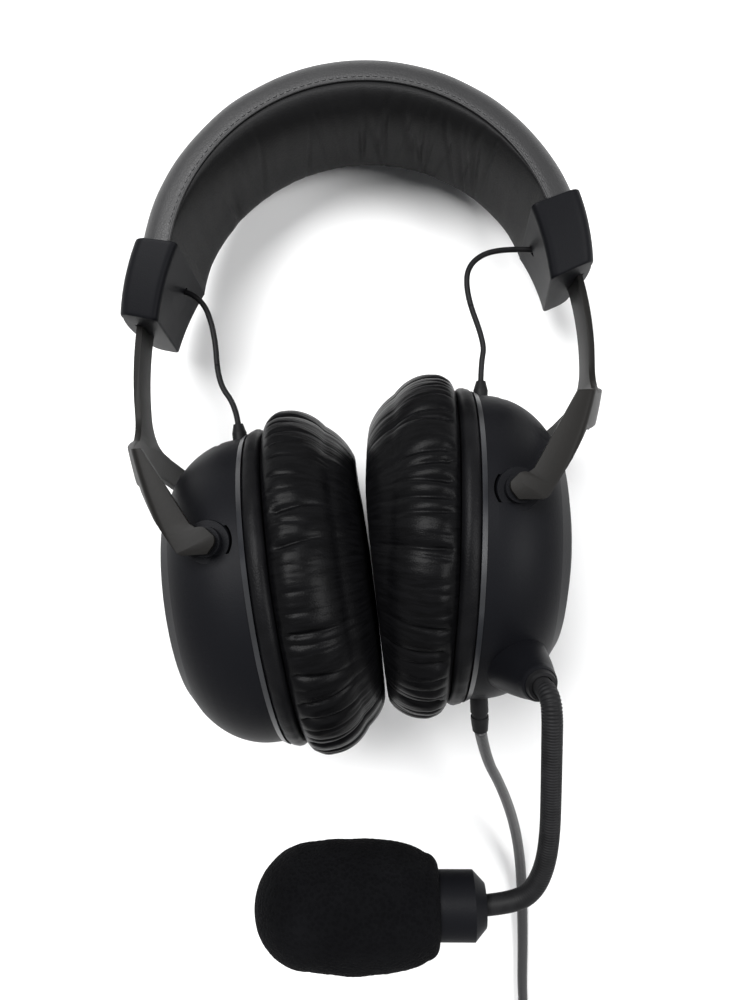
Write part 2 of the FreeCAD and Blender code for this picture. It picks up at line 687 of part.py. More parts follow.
parts["boom_ferrule"] = ferrule
parts["gooseneck"] = neck
parts["mic_collar"] = collar
parts["mic_capsule"] = capsule
parts["mic_muff"] = muff.cut(capsule)

# Leads between the headband and the cups
link_radius = 4.0 * link_d
for limb in (left, right):
    start = lead_spot(limb, 1.2)
    start = V(limb.sign * start.x, start.y, start.z)
    end = limb.cup_point(boot_u, 54.5, 0)
    below = limb.cup_point(boot_u, 61.0, 0)
    if limb.sign < 0:
        points = [start, V(-53.0, 74.5, -2), V(-49.2, 63.0, -1), V(-49.6, 45.0, 0), below, end]
    else:
        points = [start, V(50.0, 81.5, -2), V(38.6, 77.0, -1), V(36.4, 66.0, 0), V(40.6, 48.0, 0), below, end]
    path, radii = rounded(points)
    print(limb.name, "link lead length", round(path.Length, 1), "least radius", round(min(radii), 1))
    parts[limb.name + "_link_lead"] = tube(path, link_d)

# Lay the headset on its back
relief_top = by_pivot(-13.37, -61.01, 0.5)
relief_end = by_pivot(-13.87, -73.01, -3.4)
relief = turned(relief_top, relief_end, (0, 0), (0, 2.9), (6.0, 2.9), (6.0, 2.5), (7.6, 2.5), (7.6, 2.9), (8.6, 2.9),
                (relief_end.sub(relief_top).Length, 2.5), (relief_end.sub(relief_top).Length, 0))
parts["strain_relief"] = relief
parts["right_shell"] = parts["right_shell"].cut(relief)
parts["right_baffle"] = parts["right_baffle"].cut(relief)

rest_low = V(0, -3.0, -fork_depth)
rest_high = V(0, arch_y + seam_r + 5.0, -cover_half + 0.2)
rest_tilt = -math.degrees(math.atan2(rest_high.z - rest_low.z, rest_high.y - rest_low.y))
recline = FreeCAD.Rotation(V(1, 0, 0), rest_tilt)
box = FreeCAD.BoundBox()
for name in parts:
    parts[name].rotate(V(0, 0, 0), V(1, 0, 0), rest_tilt)
    box.add(parts[name].optimalBoundingBox(False, False))
shift = V(-(box.XMin + box.XMax) / 2, -(box.YMin + box.YMax) / 2, -box.ZMin)
for name in parts:
    parts[name].translate(shift)


def laid(point):
    return recline.multVec(point).add(shift)


print("tilt", round(rest_tilt, 4), "shift", [round(c, 3) for c in shift])
print("size", round(box.XLength, 1), round(box.YLength, 1), round(box.ZLength, 1))

# Cord down to the floor
exit_at = laid(relief_end)
floor_z = cord_d / 2
step = V(shift.x, shift.y, 0)
cord_points = [exit_at, V(25.4, -90.5, 53.3).add(step), V(32.0, -109.6, 38.7).add(step),
               V(38.2, -135.7, 19.3).add(step), V(41.2, -163.0, 4.2).add(step),
               V(39.6, -193.0, floor_z).add(step), V(36.2, -224.0, floor_z).add(step),
               V(37.0, -252.0, floor_z).add(step)]
cord_path, cord_radii = rounded(cord_points)
print("cord length", round(cord_path.Length, 1), "least radius", round(min(cord_radii), 1))
parts["cord"] = tube(cord_path, cord_d)
parts["strain_relief"] = largest(parts["strain_relief"].cut(parts["cord"]))

# Coil: two flat spirals, inward below and outward above
coil_r = 33.0
coil_pitch = 4.5
coil_rise = 4.5
coil_turns = 4
head = cord_points[-1].sub(cord_points[-2])
coil_turn = math.degrees(math.atan2(head.y, head.x)) + 90
coil_edges = []
here, down, radius = V(0, -cord_d, 0), True, coil_r
coil_edges.append(Part.makeLine(V(0, 0, 0), here))
for i in range(4 * coil_turns):
    there = here.add(V((-2 if down else 2) * radius, 0, 0))
    if i == 2 * coil_turns:
        there = there.add(V(0, 0, coil_rise))
        drop = math.sqrt(radius ** 2 + (coil_rise / 2) ** 2)
        top = here.add(there).multiply(0.5).add(V(0, -drop if down else drop, 0))
        coil_edges.append(tangent_arc(here, V(0, -1 if down else 1, 0), top))
        back = tangent_arc(there, V(0, -1 if down else 1, 0), top)
        middle = back.valueAt((back.FirstParameter + back.LastParameter) / 2)
        coil_edges.append(Part.Arc(top, middle, there).toShape())
    else:
        top = here.add(there).multiply(0.5).add(V(0, -radius if down else radius, 0))
        coil_edges.append(Part.Arc(here, top, there).toShape())
    radius += -coil_pitch / 2 if i < 2 * coil_turns else coil_pitch / 2
    here, down = there, not down
coil_out = here.add(V(0, -24.0, 0))
coil_edges.append(Part.makeLine(here, coil_out))
coil_path = Part.Wire(coil_edges)
samples = coil_path.discretize(Distance=2.0)
least = min(samples[i].distanceToPoint(samples[j])
            for i in range(len(samples)) for j in range(i + 8, len(samples)))
print("coil length", round(coil_path.Length, 1), "least gap to itself", round(least - cord_d, 2))


def on_floor(thing):
    """Carry a point or shape from the coil's own axes to its place on the floor."""
    if isinstance(thing, FreeCAD.Vector):
        return FreeCAD.Rotation(V(0, 0, 1), coil_turn).multVec(thing).add(cord_points[-1])
    thing.rotate(V(0, 0, 0), V(0, 0, 1), coil_turn)
    thing.translate(cord_points[-1])
    return thing


parts["cord_coil"] = on_floor(tube(coil_path, cord_d))

# Splitter, legs and plugs
split_w = 13.0
split_l = 26.0
split_h = 12.6
leg_d = 3.2
leg_gap = 6.0
body = Part.makeBox(split_w, split_l, split_h, coil_out.add(V(-split_w / 2, -split_l, -split_h / 2)))
body = body.makeFillet(2.5, body.Edges)
parts["cord_splitter"] = on_floor(body)

rise = coil_out.z
low = leg_d / 2 - floor_z
foot = coil_out.y - split_l
phones_r = 6.2
mic_r = 5.4
legs = {
    "phones": (phones_r, 36.0, 3.175, 31.0,
               [V(leg_gap / 2, foot, rise), V(5.5, foot - 15, rise - 3.0), V(3.5, foot - 32, low), V(-8, foot - 46, low),
                V(-23, foot - 53, low + 1.2), V(-37, foot - 55, phones_r - floor_z)]),
    "mic": (mic_r, 34.0, 2.615, 29.0,
            [V(-leg_gap / 2, foot, rise), V(-2.5, foot - 11, rise - 2.0), V(-6.5, foot - 22, low + 0.4),
             V(-15, foot - 30.5, low), V(-26, foot - 35, low + 1.2), V(-37, foot - 36.5, mic_r - floor_z)]),
}
for word, (grip_r, grip_l, shaft_r, shaft_l, points) in legs.items():
    path, radii = rounded(points)
    print(word, "leg length", round(path.Length, 1), "least radius", round(min(radii), 1))
    parts[word + "_leg"] = on_floor(tube(path, leg_d))
    tail = points[-1]
    aim = V(tail.x - 10, tail.y - 1, tail.z)
    grip = turned(tail, aim, (0, 0), (0, 2.6), (12.0, 3.6), (13.0, grip_r), (13.0 + grip_l - 2, grip_r),
                  (13.0 + grip_l, grip_r - 0.8), (13.0 + grip_l, 0))
    base = 13.0 + grip_l
    tip_l = 3.4 * shaft_r / 3.175
    shaft = turned(tail, aim, (base, 0), (base, shaft_r), (base + shaft_l - 2.4 * tip_l, shaft_r),
                   (base + shaft_l - 2.4 * tip_l, 0))
    tip = turned(tail, aim, (base + shaft_l - 2.4 * tip_l, 0), (base + shaft_l - 2.4 * tip_l, shaft_r - 0.5),
                 (base + shaft_l - 1.9 * tip_l, shaft_r - 0.5), (base + shaft_l - 1.7 * tip_l, shaft_r),
                 (base + shaft_l - 1.2 * tip_l, shaft_r * 0.68), (base + shaft_l - 0.8 * tip_l, shaft_r),
                 (base + shaft_l, 0.6), (base + shaft_l, 0))
    parts[word + "_plug_grip"] = on_floor(grip).cut(parts[word + "_leg"])
    parts["cord_splitter"] = parts["cord_splitter"].cut(parts[word + "_leg"])
    parts[word + "_plug_shaft"] = on_floor(shaft.fuse(tip))
    print(word, "plug from", [round(c, 2) for c in on_floor(along(tail, aim, base))],
          "to", [round(c, 2) for c in on_floor(along(tail, aim, base + shaft_l))])

# Joint data
for limb in (left, right):
    at = laid(V(limb.sign * limb.centre[0], limb.centre[1], 0))
    print(limb.name, "slide axis at", [round(c, 3) for c in at], "turn", round(math.degrees(travel / limb.radius), 3),
          "radius", round(limb.radius, 2), "tilt", round(limb.tilt, 2))
    at = laid(V(limb.sign * limb.pivot.x, limb.pivot.y, 0))
    print(limb.name, "pivot at", [round(c, 3) for c in at])
print("front axis", [round(c, 5) for c in recline.multVec(V(0, 0, 1))])
print("boom axis at", [round(c, 3) for c in laid(socket_mouth)],
      "along", [round(c, 5) for c in recline.multVec(socket_mouth.sub(socket_foot).normalize())])

total = 0
for name, shape in parts.items():
    shape.exportStep("parts/" + name + ".step")
    total += shape.Volume
    if not shape.isValid() or shape.Volume <= 0:
        print("check", name, shape.isValid(), round(shape.Volume, 1))
print(len(parts), "pieces, volume", round(total / 1000, 1), "cm3")
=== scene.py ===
# %% [markdown]
# # An over-ear headset lying on its back
# The headset has a padded band, two ear cups that hang in steel forks, a bent boom with a foam covered
# microphone, and a cord. Its rigid pieces come from a imported frame in metres. This lesson dresses them:
# soft parts are shaped here, every surface gets its own finish, and each piece but the link leads rides on
# its body.

# %% Load the frame
import math
import random

import bpy
from mathutils import Matrix, Vector, noise


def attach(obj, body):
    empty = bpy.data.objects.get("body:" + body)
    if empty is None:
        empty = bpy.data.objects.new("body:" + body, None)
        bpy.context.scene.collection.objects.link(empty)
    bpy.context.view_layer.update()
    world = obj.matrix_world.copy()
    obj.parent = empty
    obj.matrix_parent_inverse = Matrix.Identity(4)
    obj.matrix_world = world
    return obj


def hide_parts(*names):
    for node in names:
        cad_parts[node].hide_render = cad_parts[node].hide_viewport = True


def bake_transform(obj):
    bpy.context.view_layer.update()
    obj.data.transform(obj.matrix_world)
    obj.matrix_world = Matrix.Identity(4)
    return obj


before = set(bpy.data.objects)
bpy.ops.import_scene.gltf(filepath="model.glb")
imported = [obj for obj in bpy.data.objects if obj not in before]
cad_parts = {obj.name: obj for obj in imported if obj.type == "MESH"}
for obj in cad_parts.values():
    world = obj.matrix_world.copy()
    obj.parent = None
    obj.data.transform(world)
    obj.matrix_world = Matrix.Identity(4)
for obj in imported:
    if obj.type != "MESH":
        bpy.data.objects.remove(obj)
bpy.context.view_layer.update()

# %% [markdown]
# ## Drawing upright, placing lying down
# A headset is easier to draw upright, as it is worn: x to the right in the
# picture, y up to the crown and z to the front, in millimetres. The object
# lies on its back, so one matrix tips each drawn point back, lifts it onto the
# floor and scales it.

# %% Upright drawing to floor
BACK_TILT = math.radians(-10.697)
SEAT = Vector((0.0, -9.577, 50.902)) / 1000
LAY = Matrix.Translation(SEAT) @ Matrix.Rotation(BACK_TILT, 4, "X") @ Matrix.Scale(0.001, 4)


def laid(x, y, z):
    return LAY @ Vector((x, y, z))


print("crown lies at", [round(v, 4) for v in laid(2.75, 143.4, 0)])

# %% [markdown]
# ## Place of the camera
# The picture was taken from close by, straight above the cups. Perspective is
# strong, so the lens is short and the camera is near. It is turned a little
# about its own axis, which tips the band sideways.

# %% Camera
PITCH = math.radians(5.0)
ROLL = math.radians(6.43)
STAND_OFF = 247.0

ahead = Vector((0, math.sin(PITCH), -math.cos(PITCH)))
level = Vector((1, 0, 0))
upward = Vector((0, math.cos(PITCH), math.sin(PITCH)))
across = math.cos(ROLL) * level - math.sin(ROLL) * upward
overhead = math.sin(ROLL) * level + math.cos(ROLL) * upward
eye = Vector((-1.8, 0, 0)) - STAND_OFF * ahead
turn = Matrix((across, overhead, -ahead)).transposed()
turn = Matrix.Rotation(BACK_TILT, 3, "X") @ turn

bpy.ops.object.camera_add(location=LAY @ eye, rotation=turn.to_euler())
camera = bpy.context.object
camera.name = "camera"
camera.data.sensor_fit = "VERTICAL"
camera.data.sensor_height = 36.0
camera.data.lens = 27.0
camera.data.clip_start = 0.01
bpy.context.scene.camera = camera
print("camera", round((camera.location - LAY @ Vector((0, 0, 0))).length, 3), "m from the cups")

# %% [markdown]
# ## Small helpers for modelling
# Operators act on everything that is selected, so each step starts with
# nothing selected. A new piece is drawn at the origin and its place goes into
# its mesh, because the objects themselves stay at the origin.

# %% Selection and placing


def clear_selection():
    if bpy.context.mode != "OBJECT":
        bpy.ops.object.mode_set(mode="OBJECT")
    bpy.ops.object.select_all(action="DESELECT")


def only(piece):
    clear_selection()
    piece.select_set(True)
    bpy.context.view_layer.objects.active = piece


def edit(piece, *steps):
    """Run edit mode steps on the whole mesh."""
    only(piece)
    bpy.ops.object.mode_set(mode="EDIT")
    bpy.ops.mesh.select_all(action="SELECT")
    for step in steps:
        step()
    bpy.ops.object.mode_set(mode="OBJECT")


def smooth(piece, angle=None):
    only(piece)
    if angle is None:
        bpy.ops.object.shade_smooth()
    else:
        bpy.ops.object.shade_smooth_by_angle(angle=math.radians(angle))


def finish_shape(piece, *modifiers):
    """Add each modifier with its settings and apply it."""
    only(piece)
    for kind, settings in modifiers:
        modifier = piece.modifiers.new(kind.lower(), kind)
        for name, value in settings.items():
            setattr(modifier, name, value)
        bpy.ops.object.modifier_apply(modifier=modifier.name)


# %% [markdown]
# ## A rolled grid
# Tubes, rings and rounded bodies all are a grid whose two long edges meet. The
# grid is added flat, each point is put in its place, and the edges are merged.
# Its own map is scaled to millimetres, so a pattern keeps its true size.

# %% Rolled grid


def rolled(name, along, around, place, girth, length, ends=True):
    """Closed tube of a grid. place(s, t) gives each point, s along and t around."""
    clear_selection()
    bpy.ops.mesh.primitive_grid_add(x_subdivisions=along, y_subdivisions=around, size=1.0)
    piece = bpy.context.object
    piece.name = name
    for vert in piece.data.vertices:
        vert.co = place(min(1.0, max(0.0, vert.co.x + 0.5)), min(1.0, max(0.0, vert.co.y + 0.5)))
    for corner in piece.data.uv_layers[0].data:
        corner.uv = (corner.uv[0] * length, corner.uv[1] * girth)
    edit(piece, lambda: bpy.ops.mesh.remove_doubles(threshold=2e-6))
    if ends:
        edit(piece, lambda: bpy.ops.mesh.fill_holes(sides=0))
    edit(piece, lambda: bpy.ops.mesh.normals_make_consistent(inside=False))
    smooth(piece)
    return piece


def smooth_route(name, points):
    """Curve of one open spline with the points as its control points."""
    shape = bpy.data.curves.new(name, "CURVE")
    shape.dimensions = "3D"
    spline = shape.splines.new("NURBS")
    spline.points.add(len(points) - 1)
    for knot, point in zip(spline.points, points):
        knot.co = (*point, 1.0)
    spline.order_u = 3
    spline.use_endpoint_u = True
    spline.resolution_u = 12
    piece = bpy.data.objects.new(name, shape)
    bpy.context.scene.collection.objects.link(piece)
    return piece


def read_route(name, points, step):
    """Evenly spaced points read from the smooth curve."""
    guide = smooth_route(name, points)
    sampled = bpy.data.meshes.new_from_object(guide)
    line = [vert.co.copy() for vert in sampled.vertices]
    bpy.data.meshes.remove(sampled)
    bpy.data.objects.remove(guide)
    total = sum((b - a).length for a, b in zip(line, line[1:]))
    count = max(8, round(total / step))
    spaced, walked, target = [line[0]], 0.0, total / count
    for a, b in zip(line, line[1:]):
        run = (b - a).length
        while walked + run >= target - 1e-12 and len(spaced) < count:
            spaced.append(a.lerp(b, (target - walked) / run) if run else b.copy())
            target += total / count
        walked += run
    spaced.append(line[-1])
    return spaced, total


def frames_along(line):
    """Two steady side directions at each point of a line."""
    heading = (line[1] - line[0]).normalized()
    one = heading.orthogonal().normalized()
    sides = []
    for i, point in enumerate(line):
        ahead_of = line[min(i + 1, len(line) - 1)] - line[max(i - 1, 0)]
        ahead_of.normalize()
        one = (one - ahead_of * one.dot(ahead_of)).normalized()
        sides.append((one, ahead_of.cross(one)))
    return sides


def tube_along(name, line, around, radius_at):
    """Round tube on a line. radius_at(s, angle) is its radius in metres."""
    sides = frames_along(line)
    last = len(line) - 1
    total = sum((b - a).length for a, b in zip(line, line[1:]))

    def place(s, t):
        i = round(s * last)
        angle = 2 * math.pi * t
        one, two = sides[i]
        return line[i] + radius_at(s, angle) * (math.cos(angle) * one + math.sin(angle) * two)

    width = radius_at(0.5, 0.0)
    return rolled(name, last, around, place, girth=2000 * math.pi * width, length=1000 * total)


# %% [markdown]
# ## The main cord
# A rubber strain relief leads the cord out of the right cup. The cord falls to
# the floor, runs on below the picture, and its spare length is wound into a
# neat coil. A flat twin cord is soft rubber with a groove between its cores,
# so the tube that follows the smooth route is a little oval and twists.

# %% Route of the cord
CORD_D = 0.004
FLOOR_ZERO = SEAT.y
relief_end = laid(23.8, -78.0, -3.4)
cord_route = [
    relief_end,
    Vector((0.0254, -0.0905 + FLOOR_ZERO, 0.0533)),
    Vector((0.0320, -0.1096 + FLOOR_ZERO, 0.0387)),
    Vector((0.0382, -0.1357 + FLOOR_ZERO, 0.0193)),
    Vector((0.0412, -0.1630 + FLOOR_ZERO, 0.0042)),
    Vector((0.0396, -0.1930 + FLOOR_ZERO, 0.0020)),
    Vector((0.0362, -0.2240 + FLOOR_ZERO, 0.0020)),
]
coil_start = Vector((0.0370, -0.2520 + FLOOR_ZERO, 0.0020))
heading = coil_start - cord_route[-1]
coil_turn = math.atan2(heading.y, heading.x) + math.pi / 2


def beside_coil(x, y, z):
    """Point near the coil, in millimetres from where the cord enters it."""
    return Matrix.Rotation(coil_turn, 3, "Z") @ Vector((x, y, z)) / 1000 + coil_start


# %% [markdown]
# The coil winds inward on the floor in four turns, climbs a little more than
# its diameter, and winds outward again on top of the first layer. Sixteen
# points to a turn keep the turns round, and they stand a little outside the
# line they make.

# %% Turns of the coil
TURN_POINTS = 16
ALL_HALF_TURNS, INWARD = 16, 8
OUTER_R, INNER_R = 34.1, 16.1
SHRINK = 2.25
OUTSIDE = 1.0195
COIL_LEAD, LAYER = 4.0, 4.5

turns = []
for i in range(1, ALL_HALF_TURNS * TURN_POINTS // 2 + 1):
    half_turns = i / (TURN_POINTS / 2)
    climb = min(1.0, max(0.0, half_turns - INWARD))
    if half_turns <= INWARD:
        middle, reach = -OUTER_R, OUTER_R - SHRINK * half_turns
    elif half_turns <= INWARD + 1:
        middle, reach = -OUTER_R + SHRINK * climb, INNER_R
    else:
        middle, reach = -OUTER_R + SHRINK, INNER_R + SHRINK * (half_turns - INWARD - 1)
    angle = -math.pi * half_turns
    turns.append(beside_coil(middle + OUTSIDE * reach * math.cos(angle),
                             -COIL_LEAD + OUTSIDE * reach * math.sin(angle), LAYER * climb))
coil_route = [beside_coil(0, -1.5, 0)] + turns[:-1]
coil_route += [beside_coil(0.1, -5.5, LAYER), beside_coil(0, -28.0, LAYER)]
cord_points = cord_route + coil_route
cord_line, cord_length = read_route("cord_guide", cord_points, 0.0016)


def cord_radius(s, angle):
    flat = 1.0 + 0.07 * math.cos(2 * (angle - 30 * s))
    groove = 0.05 * math.exp(-((math.sin(angle - 30 * s) - 1.0) / 0.06) ** 2)
    return CORD_D / 2 * (flat - groove)


main_cord = tube_along("main_cord", cord_line, 18, cord_radius)
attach(main_cord, "headband")
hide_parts("cord", "cord_coil")
[tuple(p) for p in cord_line]
print("cord", round(cord_length, 3), "m,", len(cord_points), "route points")

# %% [markdown]
# ## The two legs
# Past the splitter the cord becomes two thinner legs, one to the wide plug for
# the earphones and one to the narrow plug for the microphone.

# %% Legs
LEG_D = 0.0032
leg_routes = {
    "phones": ((3.0, -54.0, 4.5), (5.5, -69.0, 1.5), (3.5, -86.0, -0.4), (-8.0, -100.0, -0.4),
               (-23.0, -107.0, 0.8), (-37.0, -109.0, 4.2)),
    "mic": ((-3.0, -54.0, 4.5), (-2.5, -65.0, 2.5), (-6.5, -76.0, 0.0), (-15.0, -84.5, -0.4),
            (-26.0, -89.0, 0.8), (-37.0, -90.5, 3.4)),
}
legs = []
for word, route in leg_routes.items():
    line, length = read_route(word + "_guide", [beside_coil(*p) for p in route], 0.0012)
    leg = tube_along(word + "_leg_cord", line, 14, lambda s, angle: LEG_D / 2)
    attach(leg, "headband")
    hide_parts(word + "_leg")
    tuple(line[0])
    [tuple(p) for p in line]
    legs.append(leg)
    print(word, "leg", round(length, 4), "m")

# %% [markdown]
# ## The link leads
# A thin lead crosses from each end cap to the top of its cup, past two joints: the strip that slides and the
# cup that tilts. Each lead is made of two halves that meet where the strip carries them.

# %% Link leads
LINK_D = 0.0019
LINK_ROUTES = {
    "left": ((-60.0, 79.3, -3.0), (-53.0, 76.5, -2.0), (-49.2, 63.0, -1.0), (-49.6, 45.0, 0.0)),
    "right": ((63.6, 79.2, -3.0), (50.0, 81.5, -2.0), (38.6, 77.0, -1.0), (36.4, 66.0, 0.0),
              (40.6, 48.0, 0.0)),
}
UPPER_SHARE = 0.60
PIVOTS = {"left": (48.596, -9.98), "right": (37.67, -4.99)}
CUP_TILTS = {"left": 2.2, "right": 8.4}
PIVOT_OUT, PIVOT_UP = 8.5, 14.5
BOOT_OUT, BOOT_TOP, BOOT_CLEAR = 2.6, 54.5, 61.0


def cup_matrix(side):
    """Cup drawing (u outward, v up, w to the front) to the floor, from its pivot."""
    tilt = Matrix.Rotation(math.radians(-CUP_TILTS[side]), 4, "Z")
    turned = tilt @ Matrix.Translation((-PIVOT_OUT, -PIVOT_UP, 0))
    flip = Matrix.Scale(1 if side == "right" else -1, 4, (1, 0, 0))
    return LAY @ flip @ Matrix.Translation((*PIVOTS[side], 0)) @ turned


CUPS = {side: cup_matrix(side) for side in PIVOTS}

link_leads = []
for side, route in LINK_ROUTES.items():
    top = CUPS[side] @ Vector((BOOT_OUT, BOOT_TOP, 0))
    above = CUPS[side] @ Vector((BOOT_OUT, BOOT_CLEAR, 0))
    whole, length = read_route("link_guide", [laid(*p) for p in route] + [above, top], 0.0005)
    cut = round(UPPER_SHARE * len(whole))
    halves = {"upper": whole[:cut + 1], "lower": whole[cut:]}
    for half, line in halves.items():
        lead = tube_along(side + "_link_" + half, line, 14, lambda s, angle: LINK_D / 2)
        link_leads.append(lead)
        halves[half] = lead
        pair = ("headband", side + "_slider") if half == "upper" else (side + "_slider", side + "_cup")
        tuple(line[0])
        tuple(line[-1])
        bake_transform(lead)
    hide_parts(side + "_link_lead")
    tuple(whole[0])
    UPPER_SHARE * length
    [tuple(p) for p in whole[:cut + 1]]
    print(side, "link lead", round(length, 4), "m")

# %% [markdown]
# ## Sums on sockets
# A finish is a small network of nodes. Written out, it hides its idea under
# wiring, so one class wraps a socket: a sum or product on it adds the Math
# node, and the line of Python reads as the pattern does.

# %% Wires and finishes


class Wire:
    """A socket in a finish. Sums and products on it add Math nodes."""

    def __init__(self, tree, socket):
        self.tree, self.socket = tree, socket

    def math(self, operation, *values):
        node = self.tree.nodes.new("ShaderNodeMath")
        node.operation = operation
        for slot, value in zip(node.inputs, values):
            if isinstance(value, Wire):
                self.tree.links.new(value.socket, slot)
            else:
                slot.default_value = value
        return Wire(self.tree, node.outputs[0])

    def __add__(self, other):
        return self.math("ADD", self, other)

    def __sub__(self, other):
        return self.math("SUBTRACT", self, other)

    def __rsub__(self, other):
        return self.math("SUBTRACT", other, self)

    def __mul__(self, other):
        return self.math("MULTIPLY", self, other)

    __radd__, __rmul__ = __add__, __mul__

    def sine(self):
        return self.math("SINE", self)

    def clear(self, low, high):
        """0 below low, 1 above high, a soft step between."""
        node = self.tree.nodes.new("ShaderNodeMapRange")
        node.interpolation_type = "SMOOTHSTEP"
        self.tree.links.new(self.socket, node.inputs["Value"])
        node.inputs["From Min"].default_value = low
        node.inputs["From Max"].default_value = high
        return Wire(self.tree, node.outputs["Result"])


class Finish:
    """One material on a Principled shader, with its constant values set on its sockets."""

    def __init__(self, name, color, roughness, **values):
        self.material = bpy.data.materials.new(name)
        self.material.use_nodes = True
        self.tree = self.material.node_tree
        self.shader = self.tree.nodes["Principled BSDF"]
        self.set("Base Color", (*color, 1.0))
        self.set("Roughness", roughness)
        for key, value in values.items():
            self.set(key.replace("_", " ").title().replace("Ior", "IOR"), value)
        self.material.diffuse_color = (*color, 1.0)

    def set(self, slot, value):
        if isinstance(value, Wire):
            self.tree.links.new(value.socket, self.shader.inputs[slot])
        else:
            self.shader.inputs[slot].default_value = value

    def node(self, kind, settings=None, output=0, **inputs):
        """Any other node: its settings first, then the values or links of its sockets."""
        node = self.tree.nodes.new("ShaderNode" + kind)
        for key, value in (settings or {}).items():
            setattr(node, key, value)
        for key, value in inputs.items():
            slot = node.inputs[key.replace("_", " ")]
            if isinstance(value, Wire):
                self.tree.links.new(value.socket, slot)
            else:
                slot.default_value = value
        return Wire(self.tree, node.outputs[output])

    def place(self, output="Object"):
        return self.node("TexCoord", output=output)

    def stretched(self, where, scale):
        return self.node("Mapping", Vector=where, Scale=scale)

    def grain(self, where, scale, detail=3.0, rough=0.5, warp=0.0):
        return self.node("TexNoise", Vector=where, Scale=scale, Detail=detail, Roughness=rough,
                         Distortion=warp)

    def cells(self, where, scale, feature="DISTANCE_TO_EDGE", scatter=1.0):
        return self.node("TexVoronoi", {"feature": feature}, Vector=where, Scale=scale, Randomness=scatter)

    def shades(self, amount, dark, light):
        node = self.tree.nodes.new("ShaderNodeMix")
        node.data_type = "RGBA"
        self.tree.links.new(amount.socket, node.inputs["Factor"])
        node.inputs["A"].default_value = (*dark, 1.0)
        node.inputs["B"].default_value = (*light, 1.0)
        self.set("Base Color", Wire(self.tree, node.outputs["Result"]))

    def relief(self, height, depth, strength=1.0):
        """Bump of a height between 0 and 1, with its depth in metres."""
        self.set("Normal", self.node("Bump", Height=height, Distance=depth, Strength=strength))

    def dress(self, *pieces):
        for piece in pieces:
            shape = piece.data
            shape.materials.clear()
            shape.materials.append(self.material)


# %% [markdown]
# ## Moulded plastic
# The cups, caps, collar and plug grips are filled plastic with a fine spark texture. It breaks the gloss up
# without being seen as grain, so a fine noise drives a shallow bump and a slow one shifts the gloss a little.
# The bevel round each cup is glossier, and its colour is painted lighter as painted light on an edge that
# faces the lamp. What is inside is plain.

# %% Moulded plastic
shell_plastic = Finish("satin moulded plastic", (0.003, 0.0031, 0.004), 0.44, specular_ior_level=0.05)
spot = shell_plastic.place()
fine = shell_plastic.grain(spot, 2600.0, 2.0)
slow = shell_plastic.grain(spot, 38.0, 4.0)
shell_plastic.relief(fine, 0.00006, 0.7)
shell_plastic.set("Roughness", 0.37 + slow * 0.12 + fine * 0.04)
specks = shell_plastic.cells(spot, 210.0, "F1").clear(0.045, 0.03) * slow.clear(0.52, 0.62)
shell_plastic.shades(specks * 0.35 + slow * 0.12, (0.0030, 0.0031, 0.0040), (0.02, 0.021, 0.025))

# Painted light: the bevel's colour is lighter than the shell plastic's, standing in for light on an edge that
# faces the lamp; its higher gloss is its own.
gloss_plastic = Finish("bevel plastic painted lighter", (0.012, 0.0125, 0.015), 0.34, specular_ior_level=0.3)
spot = gloss_plastic.place()
slow = gloss_plastic.grain(spot, 60.0, 3.0)
gloss_plastic.relief(gloss_plastic.grain(spot, 1800.0, 2.0), 0.00003, 0.5)
gloss_plastic.set("Roughness", 0.26 + slow * 0.12)
gloss_plastic.shades(slow.clear(0.35, 0.7), (0.010, 0.0105, 0.012), (0.018, 0.019, 0.022))

inner_plastic = Finish("plain inner plastic", (0.028, 0.028, 0.028), 0.5)
spot = inner_plastic.place()
slow = inner_plastic.grain(spot, 90.0, 3.0)
inner_plastic.relief(inner_plastic.grain(spot, 1500.0, 2.0), 0.00005, 0.6)
inner_plastic.shades(slow, (0.024, 0.024, 0.025), (0.036, 0.036, 0.037))

# %% [markdown]
# ## Steel
# The forks and their pins are powder coated: a faint orange peel and a warm
# black. Springs, stops and screws are bare steel, drawn in one direction, the
# rivets are blackened, and the plugs are turned brass.

# %% Steel and brass
coated_steel = Finish("powder coated steel", (0.004, 0.0038, 0.0036), 0.5, specular_ior_level=0.1)
spot = coated_steel.place()
peel = coated_steel.grain(spot, 900.0, 2.0)
slow = coated_steel.grain(spot, 55.0, 4.0)
coated_steel.relief(peel, 0.00005, 0.6)
coated_steel.set("Roughness", 0.40 + slow * 0.16)
coated_steel.shades(slow.clear(0.3, 0.75), (0.0034, 0.0031, 0.0028), (0.0062, 0.0057, 0.0051))

bare_steel = Finish("bare steel", (0.55, 0.55, 0.56), 0.3, metallic=1.0)
spot = bare_steel.stretched(bare_steel.place(), (300.0, 300.0, 4000.0))
drawn = bare_steel.grain(spot, 1.0, 3.0)
bare_steel.set("Roughness", 0.22 + drawn * 0.2)
bare_steel.relief(drawn, 0.00001, 0.5)
bare_steel.shades(drawn, (0.46, 0.46, 0.47), (0.62, 0.62, 0.63))

black_steel = Finish("blackened steel", (0.018, 0.018, 0.02), 0.28, metallic=0.6)
spot = black_steel.place()
slow = black_steel.grain(spot, 240.0, 3.0)
black_steel.set("Roughness", 0.22 + slow * 0.16)
black_steel.relief(slow, 0.00002, 0.4)
black_steel.shades(slow, (0.014, 0.014, 0.016), (0.03, 0.03, 0.032))

plug_brass = Finish("turned plug brass", (0.66, 0.60, 0.46), 0.18, metallic=1.0)
spot = plug_brass.stretched(plug_brass.place(), (2600.0, 120.0, 120.0))
lathe = plug_brass.grain(spot, 1.0, 2.0)
plug_brass.set("Roughness", 0.12 + lathe * 0.16)
plug_brass.relief(lathe, 0.000008, 0.6)
plug_brass.shades(lathe, (0.60, 0.53, 0.38), (0.72, 0.68, 0.56))
